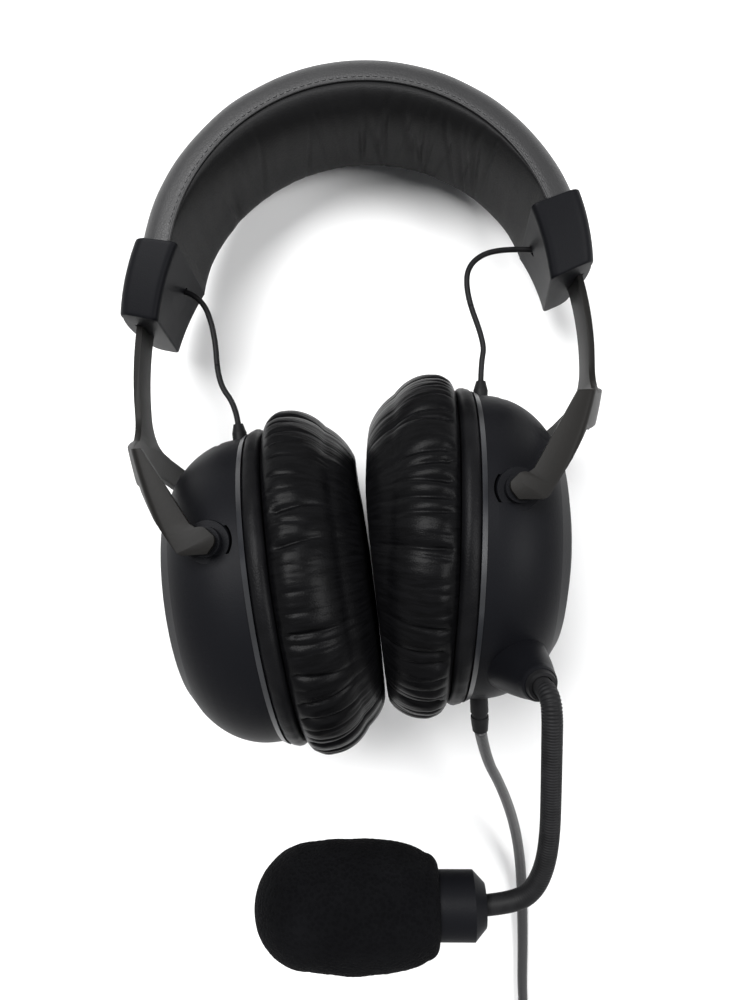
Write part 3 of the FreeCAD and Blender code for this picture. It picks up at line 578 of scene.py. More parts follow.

# %% [markdown]
# ## Imitation leathers
# The band is covered in thin imitation leather. Close up it has small rounded cells with dull valleys. Its
# colour is painted lighter than that of its cushion, the ear cushions and the rolls behind them, as painted
# light falling on the band, and fine creases run across the ear cushions.

# %% Imitation leather
band_leather = Finish("band leather", (0.006, 0.006, 0.0065), 0.42, specular_ior_level=0.28)
spot = band_leather.place()
cell = band_leather.cells(spot, 1150.0).clear(0.0, 0.22)
slow = band_leather.grain(spot, 26.0, 4.0)
band_leather.relief(cell * 0.6 + band_leather.grain(spot, 900.0, 3.0) * 0.4, 0.00009, 0.55)
band_leather.set("Roughness", 0.46 - cell * 0.06 + slow * 0.1)
# Painted light: the band's colours are lighter than those of the other leathers, standing in for the light
# that falls on the band; the slow noise gives random tone.
band_leather.shades(slow.clear(0.3, 0.75), (0.011, 0.011, 0.0117), (0.016, 0.016, 0.0168))

cushion_leather = Finish("band cushion leather", (0.003, 0.003, 0.0032), 0.5, specular_ior_level=0.12)
spot = cushion_leather.place()
cell = cushion_leather.cells(spot, 1050.0).clear(0.0, 0.22)
slow = cushion_leather.grain(spot, 30.0, 4.0)
cushion_leather.relief(cell * 0.6 + cushion_leather.grain(spot, 800.0, 3.0) * 0.4, 0.00008, 0.55)
cushion_leather.set("Roughness", 0.5 - cell * 0.06 + slow * 0.1)
cushion_leather.shades(slow.clear(0.3, 0.75), (0.0026, 0.0026, 0.0028), (0.0048, 0.0048, 0.0052))

pad_leather = Finish("ear pad leather", (0.002, 0.002, 0.0023), 0.3, specular_ior_level=0.045)
spot = pad_leather.place()
drawn_out = pad_leather.stretched(pad_leather.place("UV"), (0.85, 0.13, 1.0))
creases = pad_leather.grain(drawn_out, 1.0, 4.0, 0.6, 0.5)
cell = pad_leather.cells(spot, 1300.0).clear(0.0, 0.2)
pad_leather.relief(creases * 0.55 + cell * 0.1 + pad_leather.grain(spot, 420.0, 4.0) * 0.35, 0.00025, 0.5)
pad_leather.set("Roughness", 0.25 + creases * 0.16)
# Painted shade: the cushion leather is darker in the valleys of its creases, where the bump sinks.
pad_leather.shades(creases.clear(0.3, 0.7), (0.0014, 0.0014, 0.0016), (0.003, 0.003, 0.0034))

roll_leather = Finish("pad roll leather", (0.003, 0.003, 0.0034), 0.36, specular_ior_level=0.055)
spot = roll_leather.place()
cell = roll_leather.cells(spot, 1000.0).clear(0.0, 0.25)
slow = roll_leather.grain(spot, 60.0, 3.0)
roll_leather.relief(cell * 0.7 + slow * 0.3, 0.00006, 0.5)
roll_leather.set("Roughness", 0.34 + slow * 0.14)
roll_leather.shades(slow.clear(0.3, 0.7), (0.0022, 0.0022, 0.0026), (0.0048, 0.0048, 0.0054))

# %% [markdown]
# ## Rubber, foam and cloth
# The cord and the boom have rubber jackets, and the cord's shows a fine plait.
# The microphone wears an open foam with many tiny pits. Cloth, film and a
# denser foam are inside the cups, and the stitches are twisted thread.

# %% Rubber, foam and cloth
cord_rubber = Finish("cord rubber", (0.010, 0.010, 0.011), 0.4)
spot = cord_rubber.place("UV")
split = cord_rubber.node("SeparateXYZ", Vector=spot)
run, round_it = split, Wire(cord_rubber.tree, split.socket.node.outputs[1])
plait = (run * 4.2 + round_it * 1.5).sine() * (run * 4.2 - round_it * 1.5).sine()
worn = cord_rubber.grain(cord_rubber.place(), 160.0, 3.0)
cord_rubber.relief(plait * 0.5 + 0.5, 0.00016, 0.8)
cord_rubber.set("Roughness", 0.36 + worn * 0.16)
# Painted shade: the cord is darker in the grooves of its plait; the worn noise adds random tone.
cord_rubber.shades((plait * 0.5 + 0.5) * 0.6 + worn * 0.4, (0.006, 0.006, 0.0065), (0.020, 0.020, 0.0215))

soft_rubber = Finish("soft moulded rubber", (0.006, 0.006, 0.0066), 0.5, specular_ior_level=0.09)
spot = soft_rubber.place()
worn = soft_rubber.grain(spot, 180.0, 4.0)
soft_rubber.relief(soft_rubber.grain(spot, 1400.0, 2.0), 0.00005, 0.6)
soft_rubber.set("Roughness", 0.44 + worn * 0.16)
soft_rubber.shades(worn.clear(0.3, 0.7), (0.005, 0.005, 0.0054), (0.0095, 0.0095, 0.0102))

mic_foam = Finish("open foam", (0.002, 0.0021, 0.0025), 0.95, specular_ior_level=0.05)
spot = mic_foam.place()
pit = mic_foam.cells(spot, 950.0, "F1").clear(0.15, 0.75)
cloud = mic_foam.grain(spot, 70.0, 4.0)
mic_foam.relief(pit * 0.6 + mic_foam.grain(spot, 1600.0, 3.0) * 0.4, 0.0004, 0.8)
# Painted shade: the foam is darker in its pits; the slow cloud adds random tone.
mic_foam.shades(cloud.clear(0.25, 0.8) * 0.7 + pit * 0.3, (0.0010, 0.0010, 0.0013), (0.0036, 0.0037, 0.0043))

inner_foam = Finish("damping foam", (0.045, 0.045, 0.047), 0.95)
spot = inner_foam.place()
pit = inner_foam.cells(spot, 700.0, "F1").clear(0.15, 0.75)
inner_foam.relief(pit, 0.0005, 0.8)
# Painted shade: the damping foam is darker in its pits.
inner_foam.shades(pit, (0.025, 0.025, 0.027), (0.06, 0.06, 0.063))

ear_cloth = Finish("thin knit cloth", (0.02, 0.02, 0.021), 0.85)
spot = ear_cloth.place()
threads = ear_cloth.cells(spot, 1500.0, "F1", 0.25)
ear_cloth.relief(threads.clear(0.7, 0.1), 0.0003, 0.8)
# Painted shade: the cloth is darker between its threads.
ear_cloth.shades(threads.clear(0.6, 0.2), (0.008, 0.008, 0.009), (0.034, 0.034, 0.036))

speaker_film = Finish("speaker film", (0.05, 0.05, 0.052), 0.22, coat_weight=0.4)
spot = speaker_film.place()
slow = speaker_film.grain(spot, 220.0, 3.0)
speaker_film.relief(slow, 0.00004, 0.4)
speaker_film.shades(slow, (0.035, 0.035, 0.037), (0.07, 0.07, 0.073))

thread = Finish("sewing thread", (0.02, 0.02, 0.021), 0.6)
spot = thread.place("UV")
ply = (thread.node("SeparateXYZ", Vector=spot) * 9.0).sine()
thread.relief(ply * 0.5 + 0.5, 0.00008, 0.8)
# Painted shade: the thread is darker in the grooves between its plies.
thread.shades(ply * 0.5 + 0.5, (0.013, 0.013, 0.014), (0.034, 0.034, 0.036))

# %% Finishes of the rigid nodes
node_finish = {
    "headband_liner": inner_plastic, "headband_spring": bare_steel, "band_rivets": black_steel,
    "detent_springs": bare_steel, "boom_socket": shell_plastic, "boom_ferrule": soft_rubber,
    "mic_collar": shell_plastic, "mic_capsule": inner_plastic, "strain_relief": soft_rubber,
    "cord_splitter": soft_rubber, "phones_plug_grip": shell_plastic, "mic_plug_grip": shell_plastic,
    "phones_plug_shaft": plug_brass, "mic_plug_shaft": plug_brass,
}
for side in ("left", "right"):
    node_finish.update({
        side + "_strip_stop": bare_steel, side + "_pivot_pins": coated_steel, side + "_shell": shell_plastic,
        side + "_outer_plate": shell_plastic, side + "_baffle": gloss_plastic, side + "_ear_cloth": ear_cloth,
        side + "_damping_foam": inner_foam, side + "_driver_basket": inner_plastic,
        side + "_driver_cone": speaker_film, side + "_vent_mesh": ear_cloth,
        side + "_cable_boot": soft_rubber, side + "_pivot_keepers": shell_plastic,
        side + "_cup_screws": bare_steel,
    })
for name, finish in node_finish.items():
    finish.dress(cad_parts[name])
cord_rubber.dress(main_cord, *legs)
soft_rubber.dress(*link_leads)
print(len(node_finish), "rigid nodes have a finish")

# %% [markdown]
# ## Band cover
# The top of the band is a sewn sleeve. Its section has a flat flank, a round
# shoulder and a low crown. One grid is laid over that section and round the
# arch, and Solidify gives the sleeve its thickness towards the inside.

# %% Band cover
ARCH = Vector((2.75, 70.0, 0))
SEAM_R, CROWN_R, SHOULDER_R = 60.7, 73.4, 71.6
HALF_BAND = 22.5
FLANK_END, SHOULDER_END = 0.26, 0.62
FLANK_RISE, SHOULDER_RISE, CROWN_HALF = 3.7, 7.2, 13.8
SLEEVE_FROM, SLEEVE_ARC, SLEEVE_WALL = 13.6, 152.8, 0.0011


def on_arch(radius, degrees, z):
    a = math.radians(degrees)
    return laid(ARCH.x + radius * math.cos(a), ARCH.y + radius * math.sin(a), z)


def sleeve_section(t):
    """Radius and z on the sleeve, from the front seam over the crown to the back seam."""
    sign = 1 if t < 0.5 else -1
    u = 2 * min(t, 1 - t)
    if u < FLANK_END:
        v = u / FLANK_END
        return SEAM_R - 0.1 + (FLANK_RISE + 0.1) * v, sign * (HALF_BAND - 0.3 + 0.25 * math.sin(math.pi * v))
    if u < SHOULDER_END:
        a = (u - FLANK_END) / (SHOULDER_END - FLANK_END) * math.pi / 2
        radius = SEAM_R + FLANK_RISE + SHOULDER_RISE * math.sin(a) ** 1.15
        return radius, sign * (CROWN_HALF + 8.45 * math.cos(a) ** 1.05)
    v = (u - SHOULDER_END) / (1 - SHOULDER_END)
    crown = (CROWN_R - SHOULDER_R) * math.sin(v * math.pi / 2)
    return SHOULDER_R + crown - 0.1 * (1 - v), sign * CROWN_HALF * (1 - v)


clear_selection()
bpy.ops.mesh.primitive_grid_add(x_subdivisions=150, y_subdivisions=40, size=1.0)
band_sleeve = bpy.context.object
band_sleeve.name = "band_sleeve"
for vert in band_sleeve.data.vertices:
    s, t = vert.co.x + 0.5, vert.co.y + 0.5
    degrees = SLEEVE_FROM + SLEEVE_ARC * s
    radius, z = sleeve_section(t)
    soft = noise.noise(Vector((degrees * 0.11, z * 0.09, 3.1))) * 0.22
    pucker = math.exp(-min(t, 1 - t) / 0.05) * 0.12 * math.sin(degrees * 3.2)
    vert.co = on_arch(radius + soft + pucker, degrees, z)
edit(band_sleeve, lambda: bpy.ops.mesh.normals_make_consistent(inside=False))
inner_side = -1.0 if band_sleeve.data.polygons[0].normal.z >= 0 else 1.0
finish_shape(band_sleeve, ("SOLIDIFY", {"thickness": SLEEVE_WALL, "offset": inner_side}))
smooth(band_sleeve)
band_leather.dress(band_sleeve)
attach(band_sleeve, "headband")
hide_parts("headband_cover")

# %% [markdown]
# ## Band cushion
# Below the sleeve hangs a soft cushion. It is thickest at the crown, thins out
# towards the end caps, bulges just inside the seam, and is creased across
# where the band has been flexed. It is a closed form on one rolled grid.

# %% Band cushion
CUSHION_DROP, CUSHION_R = 12.4, 64.9
CUSHION_FROM, CUSHION_ARC, CUSHION_LOW = 13.0, 154.0, 60.0
CUSHION_HALF = HALF_BAND - 0.5
UNDERSIDE = 0.78


def cushion_reach(degrees):
    """Radius of the cushion's lowest line about the arch centre."""
    a = math.radians(degrees)
    return -CUSHION_DROP * math.sin(a) + math.sqrt(CUSHION_R ** 2 - (CUSHION_DROP * math.cos(a)) ** 2)


rng = random.Random(11)
band_creases = [(rng.uniform(38, 142), rng.uniform(0.5, 1.3), rng.uniform(0.25, 0.8), rng.uniform(-5, 5),
                 rng.uniform(-0.5, 0.6)) for _ in range(30)]


def band_cushion_point(s, t):
    degrees = CUSHION_FROM + CUSHION_ARC * s
    low = min(CUSHION_LOW, cushion_reach(degrees))
    depth = max(0.3, SEAM_R - low)
    if t < UNDERSIDE:
        w = 1 - 2 * t / UNDERSIDE
        z = CUSHION_HALF * math.copysign(abs(math.sin(w * math.pi / 2)) ** 0.85, w)
        across_it = abs(z) / CUSHION_HALF
        fullness = (1 - across_it ** 3.4) ** 0.5
        crease = sum(cut * math.exp(-((degrees - at_deg - slant * (z / 22)) / wide) ** 2) *
                     math.exp(-((z / 22 - where) / 0.75) ** 2)
                     for at_deg, wide, cut, slant, where in band_creases)
        ripple = 0.25 * noise.noise(Vector((degrees * 0.35, z * 0.05, 1.7)))
        radius = SEAM_R - depth * fullness + (crease + ripple) * min(1.0, depth / 4) * fullness
        z += math.copysign(0.5 * math.sin(min(1.0, fullness * 1.6) * math.pi), z) * min(1.0, depth / 4)
        return on_arch(radius, degrees, z)
    w = (t - UNDERSIDE) / (1 - UNDERSIDE)
    return on_arch(SEAM_R + 0.5 * math.sin(math.pi * w), degrees, CUSHION_HALF * (2 * w - 1))


band_cushion = rolled("band_cushion", 320, 64, band_cushion_point, girth=110.0, length=165.0)
cushion_leather.dress(band_cushion)
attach(band_cushion, "headband")
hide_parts("headband_pad")
print("band cushion", len(band_cushion.data.vertices), "points")

# %% [markdown]
# ## Seams of the band
# A thin cord is sewn into each long seam, and short stitches run beside it.
# One stitch is modelled and copied along both seams.

# %% Piping
PIPING_FROM, PIPING_ARC, PIPING_STEPS, PIPING_R = 14.2, 151.6, 220, 0.00042

for sign, word in ((1, "front"), (-1, "back")):
    line = [on_arch(SEAM_R + 0.15, PIPING_FROM + PIPING_ARC * i / PIPING_STEPS, sign * (HALF_BAND - 0.1))
            for i in range(PIPING_STEPS + 1)]
    piping = tube_along("band_piping_" + word, line, 10, lambda s, angle: PIPING_R)
    band_leather.dress(piping)
    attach(piping, "headband")

# %% Stitches
STITCH_FROM, STITCH_ARC, STITCHES_A_SEAM = 19.0, 142.0, 66
STITCH_ON = SEAM_R + 1.25
STITCH_HALF_LENGTH, STITCH_R = 0.00075, 0.00019

clear_selection()
bpy.ops.mesh.primitive_uv_sphere_add(segments=8, ring_count=6, radius=1.0)
stitch = bpy.context.object
stitch.data.transform(Matrix.Diagonal((STITCH_HALF_LENGTH, STITCH_R, STITCH_R, 1.0)))
stitches = []
for sign in (1, -1):
    for i in range(STITCHES_A_SEAM):
        degrees = STITCH_FROM + STITCH_ARC * (i + 0.5) / STITCHES_A_SEAM
        spot = on_arch(STITCH_ON, degrees, sign * (HALF_BAND + 0.02))
        along_it = (on_arch(STITCH_ON, degrees + 0.5, sign * HALF_BAND) - spot).normalized()
        copy = stitch.copy()
        copy.data = stitch.data.copy()
        bpy.context.scene.collection.objects.link(copy)
        copy.data.transform(Matrix.Translation(spot) @ along_it.to_track_quat("X", "Z").to_matrix().to_4x4())
        stitches.append(copy)
clear_selection()
for copy in stitches:
    copy.select_set(True)
bpy.context.view_layer.objects.active = stitches[0]
bpy.ops.object.join()
band_stitches = bpy.context.object
band_stitches.name = "band_stitches"
bpy.data.objects.remove(stitch)
smooth(band_stitches)
thread.dress(band_stitches)
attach(band_stitches, "headband")
print(len(stitches), "stitches")

# %% [markdown]
# ## Sections made of arcs
# The end caps, the ear cushions and the rolls behind them are each a closed
# section that is carried along a way. A designer draws such a section with
# arcs and straight runs, and so does this helper, which then spaces its
# points evenly.

# %% Sections made of arcs
SECTION_POINTS = 400


def through(a, b, c, count):
    """Points on the arc from a over b to c, as pairs."""
    a, b, c = Vector(a), Vector(b), Vector(c)
    d = 2 * ((b - a).cross(c - a))
    if abs(d) < 1e-6:
        return [a.lerp(c, i / count) for i in range(count)]
    ab, ac = b - a, c - a
    middle = a + Vector((ac.y * ab.length_squared - ab.y * ac.length_squared,
                         ab.x * ac.length_squared - ac.x * ab.length_squared)) / d
    first, last = a - middle, c - middle
    sweep = math.atan2(first.cross(b - middle), first.dot(b - middle))
    rest = math.atan2((b - middle).cross(last), (b - middle).dot(last))
    total = sweep + rest
    return [middle + Matrix.Rotation(total * i / count, 2) @ first for i in range(count)]


def closed_section(*arcs):
    """Evenly spaced points of a closed line through arcs and straight runs, and its length."""
    line = []
    for arc in arcs:
        if len(arc) == 3:
            line += through(*arc, 60)
        else:
            line += [Vector(arc[0]).lerp(Vector(arc[1]), i / 30) for i in range(30)]
    line.append(line[0])
    runs = [(b - a).length for a, b in zip(line, line[1:])]
    total, even, k, walked = sum(runs), [], 0, 0.0
    for i in range(SECTION_POINTS):
        target = total * i / SECTION_POINTS
        while walked + runs[k] < target:
            walked += runs[k]
            k += 1
        even.append(line[k].lerp(line[k + 1], (target - walked) / max(runs[k], 1e-9)))
    return even, total


def read_section(line, t):
    """Point of a closed line at the share t of its length."""
    x = (t % 1.0) * len(line)
    i = int(x) % len(line)
    return line[i].lerp(line[(i + 1) % len(line)], x - int(x))


# %% [markdown]
# ## End caps
# Each end cap is one smooth moulding. Its section has a flat inner face, flat
# front and back, soft shoulders and a low crown, and it swells a little
# between its foot and its top. Three sections are blended along its length,
# and two cutters open the slot for the strip and the hole for the lead.

# %% Section of a cap


def cap_section(edge, lean, half):
    """Section of a cap: x runs outward from its inner face, which leans by lean at the front."""
    low = half - 2.2
    return closed_section(
        ((0, -20.8), (-lean, low)), ((-lean, low), (0.45 - lean, half - 0.55), (2.2 - lean, half)),
        ((2.2 - lean, half), (edge - 3.4, half)),
        ((edge - 3.4, half), (edge - 0.8, half - 1.5), (edge, half - 5.0)),
        ((edge, half - 5.0), (edge + 1.9, 0), (edge, -18.0)),
        ((edge, -18.0), (edge - 0.8, -21.5), (edge - 3.4, -23.0)),
        ((edge - 3.4, -23.0), (2.2, -23.0)), ((2.2, -23.0), (0.55, -22.4), (0, -20.8)))[0]


# %% Caps
FOOT_IN, FOOT_OUT = Vector((67.0, 63.6)), Vector((75.9, 66.4))
CAP_TOP, CAP_IN_R, CAP_OUT_R = math.radians(14.4), 59.8, 72.1
CAP_LENGTH, FOOT_ROUND, TOP_ROUND, CAP_SWELL = 24.1, 0.9, 0.6, 0.9
CAP_FORMS = ((3.4, 16.9), (2.6, 20.2), (1.6, 22.9))
RIDGE_LEAN = {"left": 0.0, "right": 2.6}
END_SHRINK = 0.075
SLOT_IN, SLOT_OUT, SLOT_HALF, SLOT_FROM, SLOT_ARC = 2.35, 0.35, 6.35, -3.0, 19.0
HOLE_R = 0.00125

# Arc of each strip: its middle, its radius and the angle at which it leaves the cap
LIMBS = {"left": (-63.385, 36.16, 139.98, 11.263), "right": (-32.436, 50.593, 108.01, 6.863)}


def cap_depths():
    """Places along a cap, close together where its two ends are rounded."""
    rows = [1 - math.cos(math.pi / 2 * i / 6) for i in range(7)]
    straight = CAP_LENGTH - FOOT_ROUND - TOP_ROUND
    return ([FOOT_ROUND * r for r in rows] + [FOOT_ROUND + straight * (i + 1) / 30 for i in range(30)]
            + [CAP_LENGTH - TOP_ROUND * r for r in rows[5::-1]])


def end_cap(side):
    sign = 1 if side == "right" else -1
    top_way = Vector((math.cos(CAP_TOP), math.sin(CAP_TOP)))
    middle_of_arch = Vector((sign * ARCH.x, ARCH.y))
    top_in, top_out = middle_of_arch + CAP_IN_R * top_way, middle_of_arch + CAP_OUT_R * top_way
    swell = (FOOT_OUT - FOOT_IN).normalized() * CAP_SWELL
    half_way = ((FOOT_IN + top_in) / 2 + swell, (FOOT_OUT + top_out) / 2 + swell)
    ends = [(FOOT_IN, FOOT_OUT), half_way, (top_in, top_out)]
    lines = [cap_section((b - a).length, lean + RIDGE_LEAN[side], half)
             for (a, b), (lean, half) in zip(ends, CAP_FORMS)]
    depths = cap_depths()

    def place(s, t):
        depth = depths[round(s * (len(depths) - 1))]
        near = min(depth / FOOT_ROUND, (CAP_LENGTH - depth) / TOP_ROUND, 1.0)
        shrink = 1.0 - END_SHRINK * (1 - math.sqrt(max(0.0, 1 - (1 - near) ** 2)))
        k = depth / CAP_LENGTH
        weights = ((2 * k - 1) * (k - 1), 4 * k * (1 - k), k * (2 * k - 1))
        at = Vector((0, 0, 0))
        for (a, b), line, weight in zip(ends, lines, weights):
            out = (b - a).normalized()
            run, z = read_section(line, t)
            middle = (b - a).length / 2
            spot = a + out * (middle + (run - middle) * shrink)
            at += weight * Vector((spot.x, spot.y, z * (1 - (1 - shrink) * 0.35)))
        return laid(sign * at.x, at.y, at.z)

    cap = rolled(side + "_end_cap", len(depths) - 1, 120, place, girth=75.0, length=24.0)
    cx, cy, strip_r, turned = LIMBS[side]

    def slot(s, t):
        inner, outer = strip_r - SLOT_IN, strip_r + SLOT_OUT
        corners = ((inner, SLOT_HALF), (outer, SLOT_HALF), (outer, -SLOT_HALF), (inner, -SLOT_HALF))
        r, z = corners[round(4 * t) % 4]
        a = math.radians(turned + SLOT_FROM + SLOT_ARC * s)
        return laid(sign * (cx + r * math.cos(a)), cy + r * math.sin(a), z)

    lead = Vector(LINK_ROUTES[side][0])
    outward = Vector((sign, 0.3, 0))
    hole_line = [laid(*(lead - 3 * outward)), laid(*(lead + 3 * outward))]
    cutters = [rolled("slot_cutter", 24, 4, slot, girth=30.0, length=40.0),
               tube_along("hole_cutter", hole_line, 24, lambda s, angle: HOLE_R)]
    for cutter in cutters:
        finish_shape(cap, ("BOOLEAN", {"object": cutter, "operation": "DIFFERENCE", "solver": "EXACT"}))
        bpy.data.objects.remove(cutter)
    smooth(cap, 32)
    shell_plastic.dress(cap)
    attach(cap, "headband")
    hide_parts(side + "_cap_outer", side + "_cap_inner")
    return cap


caps = [end_cap(side) for side in ("left", "right")]
print("end caps", [len(cap.data.polygons) for cap in caps], "faces")

# %% [markdown]
# ## Forks
# A fork is pressed from one sheet: a narrow strip that widens into two arms.
# Its wall is a C in plan with crisp corners, carried along the strip's curve.
# Two outlines, one seen from the side and one from the front, trim it.

# %% Wall of a fork
FORK_DEPTH, BACK_R, FORK_CORNER, STRIP_T, STRIP_HALF = 48.56, 120.0, 2.4, 2.0, 6.0
FORK_BEVEL = 0.00025
WALL_REACH, WALL_FROM, STRIP_HELD = 36.0, -52, 20.0
LEANS = {"left": 4.45, "right": -4.45}


def traced(*steps):
    """Points of an outline. A step is a point, or a middle and an end of an arc."""
    line = [Vector(steps[0])]
    for step in steps[1:]:
        if isinstance(step[0], tuple):
            line += through(line.pop(), step[0], step[1], 10)
            line.append(Vector(step[1]))
        else:
            line.append(Vector(step))
    return line


def prism(name, outline, place, rows=1):
    """Closed body on an outline. place(point, s) puts it, s from 0 to 1 along the body."""
    count = len(outline)
    return rolled(name, rows, count, lambda s, t: place(outline[round(t * count) % count], s),
                  girth=300.0, length=100.0)


def wall_plan(r):
    """C of the sheet from above: a back of radius BACK_R, two crisp corners, two walls."""
    turn = math.asin((FORK_DEPTH - FORK_CORNER) / (BACK_R - FORK_CORNER))
    mid_x = r - BACK_R + (BACK_R - FORK_CORNER) * math.cos(turn)
    mid_z = (BACK_R - FORK_CORNER) * math.sin(turn)
    half = (turn + math.pi / 2) / 2

    def corner(inset, way):
        back, bend = BACK_R - inset, FORK_CORNER - inset
        return ((mid_x, way * (mid_z + bend)),
                (mid_x + bend * math.cos(half), way * (mid_z + bend * math.sin(half))),
                (r - BACK_R + back * math.cos(turn), way * back * math.sin(turn)))

    up, down, up_in, down_in = corner(0, 1), corner(0, -1), corner(STRIP_T, 1), corner(STRIP_T, -1)
    end = r - WALL_REACH
    return traced((end, up[0][1]), up[0], (up[1], up[2]), ((r, 0), down[2]), (down[1], down[0]),
                  (end, down[0][1]), (end, down_in[0][1]), down_in[0], (down_in[1], down_in[2]),
                  ((r - STRIP_T, 0), up_in[2]), (up_in[1], up_in[0]), (end, up_in[0][1]))


# %% Outlines of a fork
STRIP_FOOT, ARM_TOP, ARM_LOW = 43.8, 25.4, 15.8
ARM_OUT, ARM_IN, OUTLINE_END = 60, 42.2, 130


def flank_outline():
    """Fork seen from its outer side, as z and height over the pivots: a strip over two arms."""
    return traced(
        (STRIP_HALF, OUTLINE_END), (STRIP_HALF, STRIP_FOOT), ((8.6, 37.0), (15.0, 33.2)),
        ((28.5, 29.4), (42.0, ARM_TOP)), (ARM_OUT, ARM_TOP), (ARM_OUT, -30), (ARM_IN, -30), (ARM_IN, ARM_LOW),
        ((28.0, 19.4), (14.0, 22.7)), ((0, 24.2), (-14.0, 22.7)), ((-28.0, 19.4), (-ARM_IN, ARM_LOW)),
        (-ARM_IN, -30), (-ARM_OUT, -30), (-ARM_OUT, ARM_TOP), (-42.0, ARM_TOP),
        ((-28.5, 29.4), (-15.0, 33.2)), ((-8.6, 37.0), (-STRIP_HALF, STRIP_FOOT)), (-STRIP_HALF, OUTLINE_END))


def face_outline():
    """Fork seen from the front, from its pivot: an arm that slants from the strip to a round end."""
    return traced(
        (90, 140), (17.5, 140), (17.5, 28.0), (3.2, 4.8), (1.6, 3.7), ((0.4, 3.9), (-1.0, 3.5)), (-3.2, 1.4),
        ((-3.4, 0.2), (-3.0, -1.2)), (-1.4, -3.4), (5.2, -3.6), ((6.4, -3.0), (7.4, -1.8)), (13.2, 6.6),
        (18.6, 15.6), (90, 11))


# %% Two forks


def fork(side):
    sign = 1 if side == "right" else -1
    cx, cy, r, turned = LIMBS[side]
    px, py = PIVOTS[side]
    lean = Matrix.Rotation(math.radians(LEANS[side]), 2)
    low, high = math.radians(WALL_FROM), math.radians(turned) + STRIP_HELD / r

    def on_wall(spot, s):
        a = low + (high - low) * s
        return laid(sign * (cx + spot.x * math.cos(a)), cy + spot.x * math.sin(a), spot.y)

    def on_limb(x, y, z):
        at = lean @ Vector((x, y))
        return laid(sign * (px + at.x), py + at.y, z)

    piece = prism(side + "_fork_sheet", wall_plan(r), on_wall, rows=60)
    sides = prism("side_outline", flank_outline(), lambda spot, s: on_limb(110 * s - 25, spot.y, spot.x))
    front = prism("front_outline", face_outline(), lambda spot, s: on_limb(spot.x, spot.y, 120 * s - 60))
    for cutter in (sides, front):
        finish_shape(piece, ("BOOLEAN", {"object": cutter, "operation": "INTERSECT", "solver": "EXACT"}))
        bpy.data.objects.remove(cutter)
    finish_shape(piece, ("BEVEL", {"width": FORK_BEVEL, "segments": 2, "limit_method": "ANGLE",
                                   "angle_limit": 0.7}))
    smooth(piece, 28)
    coated_steel.dress(piece)
    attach(piece, side + "_slider")
    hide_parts(side + "_fork")
    return piece


forks = [fork(side) for side in ("left", "right")]
print("forks", [len(piece.data.polygons) for piece in forks], "faces")
print("fork sizes", [tuple(round(v, 4) for v in piece.dimensions) for piece in forks])

# %% [markdown]
# ## Ear cushions
# Each cushion is a leather ring round the ear, softly filled. Its section is a
# closed line of arcs that is carried round an oval. Gathers start at the seam
# and run forward, and the two cushions press flat where they touch.

# %% Ear cushions
PAD_STRETCH = 1.1763
MEET_X, MEET_GAP, MEET_SOFT = -5.0, 0.35, 0.5
GATHER_SEEDS = {"left": 3, "right": 8}

pad_line, pad_girth = closed_section(
    ((-26.0, 23.4), (-7.0, 23.4)), ((-7.0, 23.4), (-7.0, 42.4)), ((-7.0, 42.4), (-9.8, 46.2), (-14.2, 47.2)),
    ((-14.2, 47.2), (-20.6, 45.8), (-26.3, 41.2)), ((-26.3, 41.2), (-31.2, 36.8), (-33.9, 32.0)),
    ((-33.9, 32.0), (-33.9, 29.4), (-32.6, 27.0)), ((-32.6, 27.0), (-30.2, 24.2), (-26.0, 23.4)))


def gathers_of(seed):
    """Angle, width, depth, slant and reach of the gathers round one cushion."""
    rng = random.Random(seed)
    found, angle = [], 0.0
    while angle < 2 * math.pi - 0.05:
        deep = rng.random() < 0.42
        found.append((angle, rng.uniform(0.018, 0.030) if deep else rng.uniform(0.008, 0.014),
                      rng.uniform(1.3, 2.3) if deep else rng.uniform(0.25, 0.8), rng.uniform(-0.05, 0.05),
                      rng.uniform(11.0, 19.0) if deep else rng.uniform(5.0, 13.0)))
        angle += rng.uniform(0.05, 0.14)
    return found


def press(x, side):
    """Keep the cushion on its own side of the meeting plane, with a soft edge."""
    sign = 1 if side == "right" else -1
    room = sign * (x - (MEET_X + sign * MEET_GAP)) / MEET_SOFT
    kept = math.log1p(math.exp(room)) if room < 30 else room
    return MEET_X + sign * (MEET_GAP + MEET_SOFT * kept)


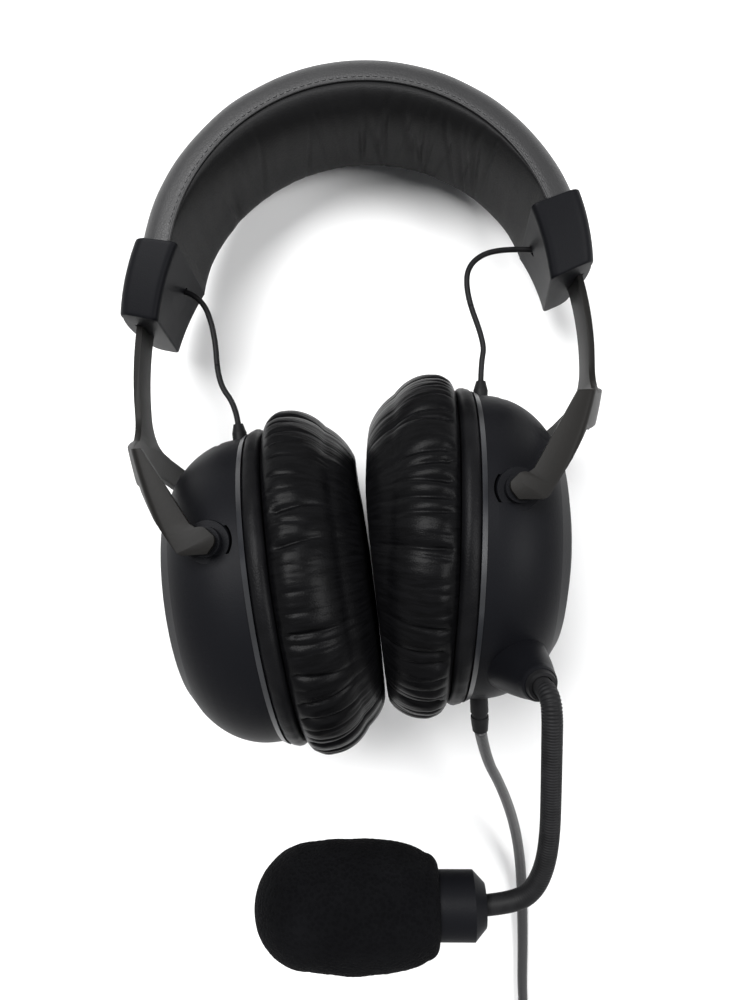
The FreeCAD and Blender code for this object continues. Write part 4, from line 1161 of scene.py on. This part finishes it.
def ear_cushion(side):
    gathers = gathers_of(GATHER_SEEDS[side])
    apart = Vector((0, 0, 90 if side == "left" else 0))
    place_cup = LAY.inverted() @ CUPS[side]

    def place(s, t):
        angle = 2 * math.pi * s
        u, r = read_section(pad_line, t)
        before, after = read_section(pad_line, t - 0.004), read_section(pad_line, t + 0.004)
        out = Vector((after.y - before.y, before.x - after.x)).normalized()
        if out.dot(Vector((u + 20.0, r - 34.9))) < 0:
            out = -out
        from_seam = max(0.0, -9.0 - u)
        outer = max(0.0, min(1.0, (r - 30.0) / 8.0)) * min(1.0, from_seam / 1.6)
        depth = 0.0
        for at_angle, wide, cut, slant, reach in gathers:
            turn_by = (angle - at_angle - slant * from_seam / 20 + math.pi) % (2 * math.pi) - math.pi
            if abs(turn_by) < 6 * wide:
                depth += cut * math.exp(-abs(turn_by) / wide) * math.exp(-(from_seam / reach) ** 2)
        spot = Vector((math.cos(angle) * 46, math.sin(angle) * 46, u)) + apart
        fold = noise.noise(Vector((spot.x * 0.34, spot.y * 0.34, spot.z * 0.055)))
        fine = noise.noise(Vector((spot.x * 1.2, spot.y * 1.2, spot.z * 0.2)))
        dent = noise.noise(spot * 0.045)
        lift = dent * 0.4 + (fold * 0.22 + fine * 0.07 - depth) * outer
        u, r = u + out.x * lift, r + out.y * lift
        point = place_cup @ Vector((u, r * PAD_STRETCH * math.cos(angle), r * math.sin(angle)))
        point.x = press(point.x, side)
        return LAY @ point

    piece = rolled(side + "_ear_cushion", 860, 84, place, girth=pad_girth, length=300.0, ends=False)
    pad_leather.dress(piece)
    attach(piece, side + "_cup")
    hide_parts(side + "_pad")
    return piece


cushions = [ear_cushion(side) for side in ("left", "right")]
print("ear cushions", [len(piece.data.polygons) for piece in cushions], "faces each")

# %% [markdown]
# ## Leather roll behind each cushion
# A narrow padded roll hides the joint between the shell and the cushion. It follows the same oval and tucks
# under the bevel of the shell, whose lighter colour is painted light, and a faint ripple on its rim keeps it
# from looking turned.

# %% Pad rolls
ROLL_STRETCH = 1.1218
RIPPLE_SHIFT = {"left": 4, "right": 5}
roll_line, roll_girth = closed_section(
    ((-7.0, 31.0), (-1.5, 31.0)), ((-1.5, 31.0), (-1.5, 43.0)), ((-1.5, 43.0), (-2.1, 44.6), (-3.6, 45.2)),
    ((-3.6, 45.2), (-5.6, 45.3), (-6.8, 44.3)), ((-6.8, 44.3), (-7.0, 43.6)), ((-7.0, 43.6), (-7.0, 31.0)))


def pad_roll(side):
    place_cup = CUPS[side]

    def place(s, t):
        angle = 2 * math.pi * s
        u, r = read_section(roll_line, t)
        outer = max(0.0, min(1.0, (r - 43.0) / 1.5))
        where = Vector((math.cos(angle) * 14, math.sin(angle) * 14, u * 0.3 + RIPPLE_SHIFT[side]))
        ripple = noise.noise(where)
        r += outer * ripple * 0.16
        return place_cup @ Vector((u, r * ROLL_STRETCH * math.cos(angle), r * math.sin(angle)))

    piece = rolled(side + "_pad_roll", 260, 40, place, girth=roll_girth, length=290.0, ends=False)
    roll_leather.dress(piece)
    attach(piece, side + "_cup")
    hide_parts(side + "_pad_ring")
    return piece


rolls = [pad_roll(side) for side in ("left", "right")]
print("pad rolls", [len(piece.data.polygons) for piece in rolls], "faces each")

# %% [markdown]
# ## Gooseneck
# The boom is a bendable tube in a ribbed rubber sleeve. The ribs are fine and
# even, and they fade out before the microphone. The sleeve is a tube on the
# boom's route, with its radius read from a formula.

# %% Gooseneck
NECK_D = 0.0055
RIB_PITCH, RIB_DEPTH = 0.00082, 0.00022
NECK_KNOTS = ((35.09, -55.77, 37.07), (36.3, -57.5, 45.4), (36.9, -59.0, 50.2), (36.9, -63.2, 51.6),
              (36.2, -73.0, 48.2), (35.3, -86.0, 43.6), (34.4, -98.0, 39.0), (32.6, -107.0, 35.6),
              (29.2, -113.8, 33.0), (23.6, -116.9, 31.7), (15.8, -117.0, 31.2))
neck_line, neck_length = read_route("neck_guide", [laid(*knot) for knot in NECK_KNOTS], 0.00014)


def neck_radius(s, angle):
    rib = 0.5 + 0.5 * math.cos(2 * math.pi * s * neck_length / RIB_PITCH)
    fade = 1.0 - min(1.0, max(0.0, (s - 0.66) / 0.2))
    return NECK_D / 2 - RIB_DEPTH * rib ** 2 * (0.12 + 0.88 * fade)


boom_sleeve = tube_along("boom_sleeve", neck_line, 24, neck_radius)
soft_rubber.dress(boom_sleeve)
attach(boom_sleeve, "boom")
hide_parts("gooseneck")
print("boom sleeve", round(neck_length, 4), "m,", len(boom_sleeve.data.polygons), "faces")

# %% [markdown]
# ## Foam windscreen
# The microphone wears a foam cover that is slipped over it. It is a body of
# revolution: narrow at the collar, widest near its round end. A fine noise on
# the points keeps its edge from looking turned.

# %% Windscreen
mic_from, mic_to = laid(*NECK_KNOTS[-1]), laid(-50.5, -110.2, 29.8)
mic_along = (mic_to - mic_from).normalized()
mic_one = mic_along.orthogonal().normalized()
mic_two = mic_along.cross(mic_one)
muff_line = [Vector((12.7, 8.2))] + through((12.7, 9.4), (13.4, 11.4), (16.0, 13.0), 14)
muff_line += through((16.0, 13.0), (18.8, 14.4), (22.0, 15.4), 10)
muff_line += through((22.0, 15.4), (35.0, 16.7), (47.6, 15.8), 30)
muff_line += through((47.6, 15.8), (58.8, 11.17), (63.4, 0.0), 40) + [Vector((63.4, 0.0))]
muff_runs = [(b - a).length for a, b in zip(muff_line, muff_line[1:])]


def muff_point(s, t):
    target, walked, k = s * sum(muff_runs), 0.0, 0
    while k < len(muff_runs) - 1 and walked + muff_runs[k] < target:
        walked += muff_runs[k]
        k += 1
    run, radius = muff_line[k].lerp(muff_line[k + 1], min(1.0, (target - walked) / max(muff_runs[k], 1e-9)))
    angle = 2 * math.pi * t
    side_way = math.cos(angle) * mic_one + math.sin(angle) * mic_two
    spot = mic_along * run + side_way * radius
    soft = noise.noise(spot * 0.16) * 0.25 + noise.noise(spot * 1.1) * 0.10 + noise.noise(spot * 2.6) * 0.06
    return mic_from + (mic_along * run + side_way * (radius + soft * min(1.0, radius / 3))) / 1000


muff_foam = rolled("muff_foam", 150, 160, muff_point, girth=100.0, length=70.0)
mic_foam.dress(muff_foam)
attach(muff_foam, "boom")
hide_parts("mic_muff")

# %% [markdown]
# ## Floor and light
# The headset lies on a plain pale floor. One large soft lamp is above the crown
# and to the left, and a weaker one is at the right, so the black parts show
# their form in broad dim reflections. Past the floor, the camera, metal and
# glass see plain white.

# %% Floor, lamps and background
clear_selection()
bpy.ops.mesh.primitive_plane_add(size=4.0, location=(0, 0, 0))
floor = bpy.context.object
floor.name = "floor"
floor_paint = Finish("pale floor", (0.92, 0.92, 0.92), 0.9)
spot = floor_paint.place()
faint = floor_paint.grain(spot, 6.0, 2.0)
floor_paint.shades(faint, (0.915, 0.915, 0.915), (0.925, 0.925, 0.925))
floor_paint.dress(floor)


def lamp(name, place, size, watts):
    bpy.ops.object.light_add(type="AREA", location=place)
    light = bpy.context.object
    light.name = name
    light.data.shape = "RECTANGLE"
    light.data.size, light.data.size_y = size
    light.data.energy = watts
    light.rotation_euler = (-Vector(place)).to_track_quat("-Z", "Y").to_euler()


lamp("lamp above the crown", (-0.36, 0.66, 1.15), (0.85, 0.65), 32.0)
lamp("lamp at the right", (0.9, 0.0, 1.1), (0.6, 0.6), 14.0)

world = bpy.data.worlds.new("room")
bpy.context.scene.world = world
world.use_nodes = True
room = world.node_tree
seen = room.nodes["Background"]
seen.inputs["Color"].default_value = (1, 1, 1, 1)
seen.inputs["Strength"].default_value = 1.0
glow = room.nodes.new("ShaderNodeBackground")
glow.inputs["Color"].default_value = (0.92, 0.95, 1.0, 1)
glow.inputs["Strength"].default_value = 0.07
path_kind = room.nodes.new("ShaderNodeLightPath")
either = room.nodes.new("ShaderNodeMixShader")
shown = path_kind.outputs["Is Camera Ray"]
for kind in ("Is Glossy Ray", "Is Transmission Ray"):
    larger = room.nodes.new("ShaderNodeMath")
    larger.operation = "MAXIMUM"
    room.links.new(shown, larger.inputs[0])
    room.links.new(path_kind.outputs[kind], larger.inputs[1])
    shown = larger.outputs[0]
room.links.new(shown, either.inputs["Fac"])
room.links.new(glow.outputs[0], either.inputs[1])
room.links.new(seen.outputs[0], either.inputs[2])
room.links.new(either.outputs[0], room.nodes["World Output"].inputs["Surface"])

bpy.context.scene.view_settings.view_transform = "Standard"
